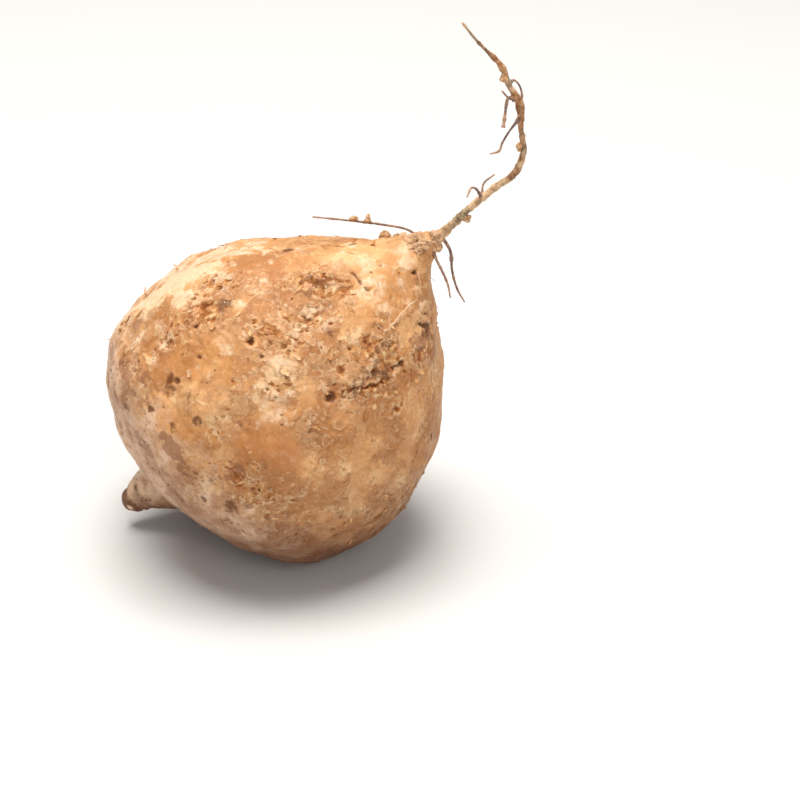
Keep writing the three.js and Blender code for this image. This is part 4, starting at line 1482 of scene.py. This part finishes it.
LAID_ON_SKIN = {
    # name: ([(along, around, millimetres above the skin), ...], radii)
    "laid_over_skin": (
        [(0.783, 4, 0.1), (0.793, 5, 0.5), (0.797, 7, 0.5), (0.806, 7, 0.8), (0.82, 10, 0.7),
         (0.828, 10, 1.0), (0.843, 13, 0.9), (0.858, 16, 1.2), (0.868, 20, 1.6)],
        [0.3, 0.46, 0.32, 0.5, 0.36, 0.46, 0.32, 0.4, 0.24],
    ),
    "laid_branch": ([(0.803, 7, 0.5), (0.812, 4, 0.6), (0.826, 2, 1.0)], [0.3, 0.24, 0.16]),
    "laid_foot": ([(0.793, 5, 0.4), (0.79, 0, 0.5), (0.793, -4, 0.6)], [0.32, 0.24, 0.16]),
    "ridge_spike_left": ([(0.35, 267, 0.0), (0.352, 266, 0.9), (0.36, 265, 1.7)], [0.5, 0.3, 0.12]),
    "ridge_spike_right": ([(0.45, 263, 0.0), (0.45, 262, 0.9), (0.442, 261, 1.8)], [0.45, 0.3, 0.12]),
    "pit_fibre": ([(0.922, 14, 0.1), (0.912, 20, 0.6), (0.9, 27, 0.8)], [0.25, 0.26, 0.18]),
}


def above_skin(along, around, height):
    """A place this far above the tuber, lying down as the root does."""
    here, _, _, out = axes_at(along, around)
    return lie_down((here + out * height)[None])[0]


for name, (places, radii) in LAID_ON_SKIN.items():
    ROOTLETS[name] = ([above_skin(*place) for place in places], radii)
for number, (name, (points, radii)) in enumerate(ROOTLETS.items()):
    start = course("course_" + name, points, radii)
    values = {"Skin": rootlet_skin, "Seed": 0.1 * number}
    values["Knot size"] = LARGE_KNOTS if name in KNOTTY else KNOT_SIZE
    values["Paleness"] = LAID_PALENESS if name in LAID_ON_SKIN else 0.0
    grown("rootlet_" + name, start, rootlet_tree, values)

# %% [markdown]
# ## Crumbs of dried soil
#
# Seven crumbs of soil cling to the neck, a rootlet and the taproot. Each solid is a plain lump that
# says where its crumb sits. The crumb that is seen is a finely divided ball in the same place, its
# skin broken into grains, and it stays within the solid's own size.

# %% Material: dried soil
dry_soil, w, surface = new_material("dried_soil", 0.95)
place = w.place()
soil_tones = [
    (0.34, tint(186, 134, 90)), (0.46, tint(214, 166, 120)), (0.58, tint(234, 194, 152)),
    (0.7, tint(246, 216, 182)),
]
soil_colour = w.ramp(w.noise(place, 1.6, 5.0, 0.7), soil_tones)
# The crumb's hollows are painted darker, as shade.
soil_colour = w.mix(w.rise(w.named("hollow"), 0.1, 1.2, 0.0, 0.5), soil_colour, tint(132, 84, 48))
grain = w.group(grain_group, Place=place, Coarse=2200.0, Fine=5200.0)
w.put(surface["Base Color"], w.grained(soil_colour, grain["Tone"], tint(190, 186, 180)))
w.put(surface["Normal"], w.bump(grain["Height"], 1.0, 0.0004))
print("dried soil:", len(dry_soil.node_tree.nodes), "nodes")

# %% Soil crumbs
CRUMB_DIVISIONS, CRUMB_CRUST = 16, 0.35
SOIL_CRUMBS = {
    # name: (centre, half sizes, seed)
    "neck_1": ((28, 8.8, 101), (2.2, 2.2, 2.0), 11),
    "neck_2": ((32, 7.5, 101.3), (1.9, 2.0, 1.6), 12),
    "rootlet_1": ((18.3, 9.8, 107), (1.6, 1.2, 1.0), 13),
    "rootlet_2": ((22.6, 9.6, 106.9), (1.1, 1.1, 1.5), 14),
    "taproot_1": ((53, 0.6, 110.9), (1.35, 1.3, 1.35), 15),
    "taproot_2": ((68.8, 6.8, 131.8), (1.1, 1.2, 1.4), 16),
    "taproot_3": ((63.3, 2, 155), (1.4, 1.3, 1.4), 17),
}
for name, (centre, size, seed) in SOIL_CRUMBS.items():
    points, faces, hollow = crusted_lump(centre, size, seed, CRUMB_DIVISIONS, CRUMB_CRUST)
    node = "soil_crumb_" + name
    crumb = finished_mesh("crumb_" + name, kept_in_box(points), faces, dry_soil, {"hollow": hollow})
    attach(crumb, "root")
    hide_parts(node)
print("soil crumbs:", len(SOIL_CRUMBS))

# %% [markdown]
# ## Loose scales, broken fibres and grains of soil
#
# Torn skin curls into small scales, hair-thin fibres break off short, and grains of soil stay in the
# rough places. Thousands of them follow the skin, so they are scattered by geometry nodes: points are
# strewn over the skin, more where one of its values is high, and a small shape is put on each, leaning
# a little away from upright or flat, turned and sized at random with a fixed seed.

# %% Geometry Nodes: strewn over the skin
FULL_TURN = 6.283  # in radians


def new_scatter_tree(name, shape):
    """A tree that strews what `shape(wiring)` builds over a mesh, by one of the mesh's values."""
    tree, w, given, out = new_geometry_tree(
        name,
        [
            ("Density", "Float", 40000.0), ("Crowded by", "String", "film"), ("From", "Float", 0.3),
            ("Smallest", "Vector", (1.0, 1.0, 1.0)), ("Largest", "Vector", (2.0, 2.0, 2.0)),
            ("Lean low", "Vector", (0.0, 0.0, 0.0)), ("Lean high", "Vector", (0.0, 0.0, FULL_TURN)),
            ("Lowest corner", "Vector", (-1.0, -1.0, 0.0)),
            ("Highest corner", "Vector", (1.0, 1.0, 1.0)),
            ("Seed", "Int", 1), ("Skin", "Material", None),
        ],
    )
    named = {"Name": given["Crowded by"]}
    crowding = w.node("GeometryNodeInputNamedAttribute", named, data_type="FLOAT").outputs[0]
    share = w.rise(crowding, given["From"], w.math("ADD", given["From"], 0.5))
    density = w.product(given["Density"], share)
    sown = {"Mesh": given["Geometry"], "Density": density, "Seed": given["Seed"]}
    strewn = w.node("GeometryNodeDistributePointsOnFaces", sown, distribute_method="RANDOM")

    def at_random(low, high, draw):
        """A value between two of the inputs, one for each point."""
        ends = {"Min": given[low], "Max": given[high], "Seed": w.math("ADD", given["Seed"], draw)}
        return w.node("FunctionNodeRandomValue", ends, data_type="FLOAT_VECTOR").outputs["Value"]

    lean = at_random("Lean low", "Lean high", 1.0)
    turning = {"Rotation": strewn.outputs["Rotation"], "Rotate By": lean}
    leaning = w.node("FunctionNodeRotateRotation", turning, rotation_space="LOCAL").outputs[0]
    placed = w.node(
        "GeometryNodeInstanceOnPoints",
        {
            "Points": strewn.outputs["Points"], "Instance": shape(w), "Rotation": leaning,
            "Scale": at_random("Smallest", "Largest", 2.0),
        },
    ).outputs[0]
    seed = {"Seed": w.math("ADD", given["Seed"], 3.0)}
    chance = w.node("FunctionNodeRandomValue", seed, data_type="FLOAT").outputs[1]
    toned = stored(w, placed, "chance", chance, "INSTANCE")
    real = w.node("GeometryNodeRealizeInstances", {"Geometry": toned}).outputs[0]
    spot = w.node("GeometryNodeInputPosition").outputs[0]
    raised = w.vector("MAXIMUM", spot, given["Lowest corner"])
    inside = w.vector("MINIMUM", raised, given["Highest corner"])
    bounded = w.node("GeometryNodeSetPosition", {"Geometry": real, "Position": inside}).outputs[0]
    w.put(out["Geometry"], dressed(w, bounded, given["Skin"]))
    return tree


def scale_shape(w):
    """A thin plate one unit long, cupped, its far end lifted."""
    box = {"Size": (1, 0.62, 0.07), "Vertices X": 5, "Vertices Y": 3}
    plate = w.node("GeometryNodeMeshCube", box).outputs[0]
    spot = w.node("GeometryNodeInputPosition").outputs[0]
    x, y, _ = w.node("ShaderNodeSeparateXYZ", {0: spot}).outputs
    lifted = w.product(w.math("POWER", w.math("ADD", x, 0.5), 2.0), 0.4)
    curl = w.total(lifted, w.product(w.math("MULTIPLY", y, y), 0.5))
    narrowed = w.product(y, w.math("POWER", w.math("MULTIPLY", x, 2.0), 2.0), -0.8)
    lift = w.node("ShaderNodeCombineXYZ", {0: 0.0, 1: narrowed, 2: curl}).outputs[0]
    return w.node("GeometryNodeSetPosition", {"Geometry": plate, "Offset": lift}).outputs[0]


def fibre_shape(w):
    """A hair one unit long, standing on its base and bent over."""
    cone = {
        "Vertices": 5, "Side Segments": 4, "Radius Top": 0.012, "Radius Bottom": 0.035, "Depth": 1.0,
    }
    hair = w.node("GeometryNodeMeshCone", cone).outputs["Mesh"]
    spot = w.node("GeometryNodeInputPosition").outputs[0]
    height = w.node("ShaderNodeSeparateXYZ", {0: spot}).outputs[2]
    bend = w.product(w.math("MULTIPLY", height, height), 0.3)
    away = w.node("ShaderNodeCombineXYZ", {0: bend, 1: 0.0, 2: 0.0}).outputs[0]
    return w.node("GeometryNodeSetPosition", {"Geometry": hair, "Offset": away}).outputs[0]


def grain_shape(w):
    """A rough grain of radius one."""
    ball = w.node("GeometryNodeMeshIcoSphere", {"Radius": 1.0, "Subdivisions": 1}).outputs[0]
    ends = {"Min": (-0.3, -0.3, -0.3), "Max": (0.3, 0.3, 0.3)}
    uneven = w.node("FunctionNodeRandomValue", ends, data_type="FLOAT_VECTOR").outputs["Value"]
    return w.node("GeometryNodeSetPosition", {"Geometry": ball, "Offset": uneven}).outputs[0]


print("shapes to strew: scale, fibre and grain")

# %% Material: loose scales and fibres
torn_skin, w, surface = new_material("torn_skin", 0.75)
place = w.place()
scale_tone = w.total(w.product(w.named("chance"), 0.75), w.product(w.noise(place, 1.2, 3.0), 0.25))
scale_tones = [
    (0.15, tint(176, 118, 70)), (0.4, tint(200, 142, 90)), (0.75, tint(222, 168, 114)),
    (0.95, tint(248, 212, 166)),
]
grain = w.group(grain_group, Place=place)
scale_colour = w.grained(w.ramp(scale_tone, scale_tones), grain["Tone"], tint(200, 196, 190))
w.put(surface["Base Color"], scale_colour)
print("torn skin:", len(torn_skin.node_tree.nodes), "nodes")

# %% Scales, fibres and grains
STREWN = {
    # name: (shape, material, slot, input values)
    "skin_scales": (scale_shape, torn_skin, "root_skin", {
        "Density": 24000.0, "Crowded by": "film", "From": 0.3, "Seed": 5,
        "Smallest": (0.0007, 0.0007, 0.0006), "Largest": (0.0034, 0.0026, 0.0011),
        "Lean low": (-0.2, -0.3, 0.0), "Lean high": (0.2, 0.05, FULL_TURN),
    }),
    "broken_fibres": (fibre_shape, torn_skin, "root_skin", {
        "Density": 3200.0, "Crowded by": "film", "From": -0.3, "Seed": 21,
        "Smallest": (0.0022, 0.0022, 0.0014), "Largest": (0.0034, 0.0034, 0.0042),
        "Lean low": (0.9, -0.4, 0.0), "Lean high": (1.5, 0.4, FULL_TURN),
    }),
    "soil_grains": (grain_shape, dry_soil, "dry_soil", {
        "Density": 24000.0, "Crowded by": "hollow", "From": 0.3, "Seed": 41,
        "Smallest": (0.00012, 0.00012, 0.0001), "Largest": (0.0004, 0.0004, 0.00034),
        "Lean low": (-1.0, -1.0, 0.0), "Lean high": (1.0, 1.0, FULL_TURN),
    }),
}
lowest, highest = ([float(v) for v in corner] for corner in CAD_BOX)
corners = {"Lowest corner": lowest, "Highest corner": highest}
for name, (shape, material, slot, values) in STREWN.items():
    start = add_to_scene(name + "_field", tuber_skin.data.copy())
    tree = new_scatter_tree("strew_" + name, shape)
    grown(name, start, tree, {**values, **corners, "Skin": material})

# %% [markdown]
# ## Larger lifted scales
#
# Some two dozen larger pieces of skin have come loose at one end, where the eye picks them out one by
# one. Each is a thin cupped plate with a ragged outline, set on the skin as listed: where it is, how
# long and wide, which way it points, how far its loose end stands off, and how pale it is.

# %% Lifted scales
LIFTED = [
    # along, around, long, wide, turn, lift, paleness
    (0.41, 317, 2.6, 3.8, 20, 0.6, 1.0), (0.59, 338, 4.4, 3.2, 60, 0.6, 1.0),
    (0.725, 323, 1.3, 6.6, -45, 0.5, 0.9), (0.515, 308, 3.2, 2.0, 20, 0.5, 0.8),
    (0.49, 303, 2.4, 2.8, 70, 0.6, 0.5), (0.66, 334, 2.6, 1.6, 30, 0.5, 0.9),
    (0.62, 316, 3.0, 1.4, -30, 0.5, 0.8), (0.88, 318, 2.4, 3.6, 30, 0.25, 0.8),
    (0.57, 291, 4.2, 1.8, 60, 0.5, 0.6), (0.54, 286, 3.0, 1.6, 10, 0.5, 0.7),
    (0.38, 354, 3.2, 1.6, 60, 0.5, 0.7), (0.4, 350, 2.0, 1.4, 10, 0.4, 0.9),
    (0.74, 346, 3.6, 2.0, -20, 0.5, 0.9), (0.69, 348, 2.6, 1.6, 50, 0.5, 0.8),
    (0.78, 332, 2.4, 1.4, 80, 0.4, 0.9), (0.34, 340, 2.0, 1.2, 0, 0.3, 0.8),
    (0.31, 300, 2.2, 1.4, 40, 0.4, 0.6), (0.27, 281, 3.0, 1.6, 10, 0.5, 0.5),
    (0.86, 270, 2.4, 2.2, 40, 1.0, 0.5), (0.89, 278, 2.2, 2.0, 10, 0.9, 0.6),
    (0.5, 190, 4.0, 2.6, 30, 0.7, 0.8), (0.6, 140, 3.2, 2.2, -40, 0.6, 0.6),
    (0.4, 120, 3.4, 1.8, 60, 0.6, 0.7), (0.66, 216, 3.6, 2.4, 20, 0.6, 0.9),
    (0.46, 236, 3.0, 2.0, 0, 0.5, 0.8), (0.55, 95, 3.0, 2.0, 50, 0.5, 0.6),
]
ROWS, COLUMNS = 9, 7
SCALE_THICKNESS = 0.09


def lifted_scale(along, around, long, wide, turn, lift, paleness):
    """Points of one scale, its under sheet after its upper one."""
    here, up, round_, out = axes_at(along, around)
    turn = math.radians(turn)
    u, v = np.meshgrid(np.linspace(-0.5, 0.5, ROWS), np.linspace(-0.5, 0.5, COLUMNS), indexing="ij")
    u, v = u.ravel(), v.ravel()
    flat = here + np.outer(u * long, up) + np.outer(v * wide, round_)
    ragged = 1 - 0.4 * (np.hypot(u, v) * 2) ** 2 * (0.8 + 0.9 * hills(flat, 1.1, 131))
    x, y = u * long * ragged, v * wide * ragged
    height = lift * (u + 0.5) ** 2 + 0.25 * lift * (2 * v) ** 2 + 0.08 * hills(flat, 1.4, 132)
    spread = np.outer(x * math.cos(turn) - y * math.sin(turn), up)
    spread += np.outer(x * math.sin(turn) + y * math.cos(turn), round_)
    sheets = (SCALE_THICKNESS, 0.0)
    return np.vstack([here + spread + np.outer(height + above, out) for above in sheets])


grid = np.arange(ROWS * COLUMNS).reshape(ROWS, COLUMNS)
sheet = squares_of(grid)
border = np.concatenate([grid[0], grid[1:, -1], grid[-1, -2::-1], grid[-2:0:-1, 0]])
rim = np.stack([border, np.roll(border, -1), np.roll(border, -1) + grid.size, border + grid.size], -1)
one_scale = np.vstack([sheet, sheet[:, ::-1] + grid.size, rim])
scale_points = np.vstack([lifted_scale(*scale) for scale in LIFTED])
scale_faces = np.vstack([one_scale + 2 * grid.size * i for i in range(len(LIFTED))])
paleness = np.repeat([scale[-1] for scale in LIFTED], 2 * grid.size)
scale_points = kept_in_box(lie_down(scale_points))
lifted_scales = finished_mesh(
    "lifted_scales", scale_points, scale_faces, torn_skin, {"chance": paleness}
)
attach(lifted_scales, "root")
print("lifted_scales:", len(LIFTED), "scales,", len(scale_faces), "faces")

# %% [markdown]
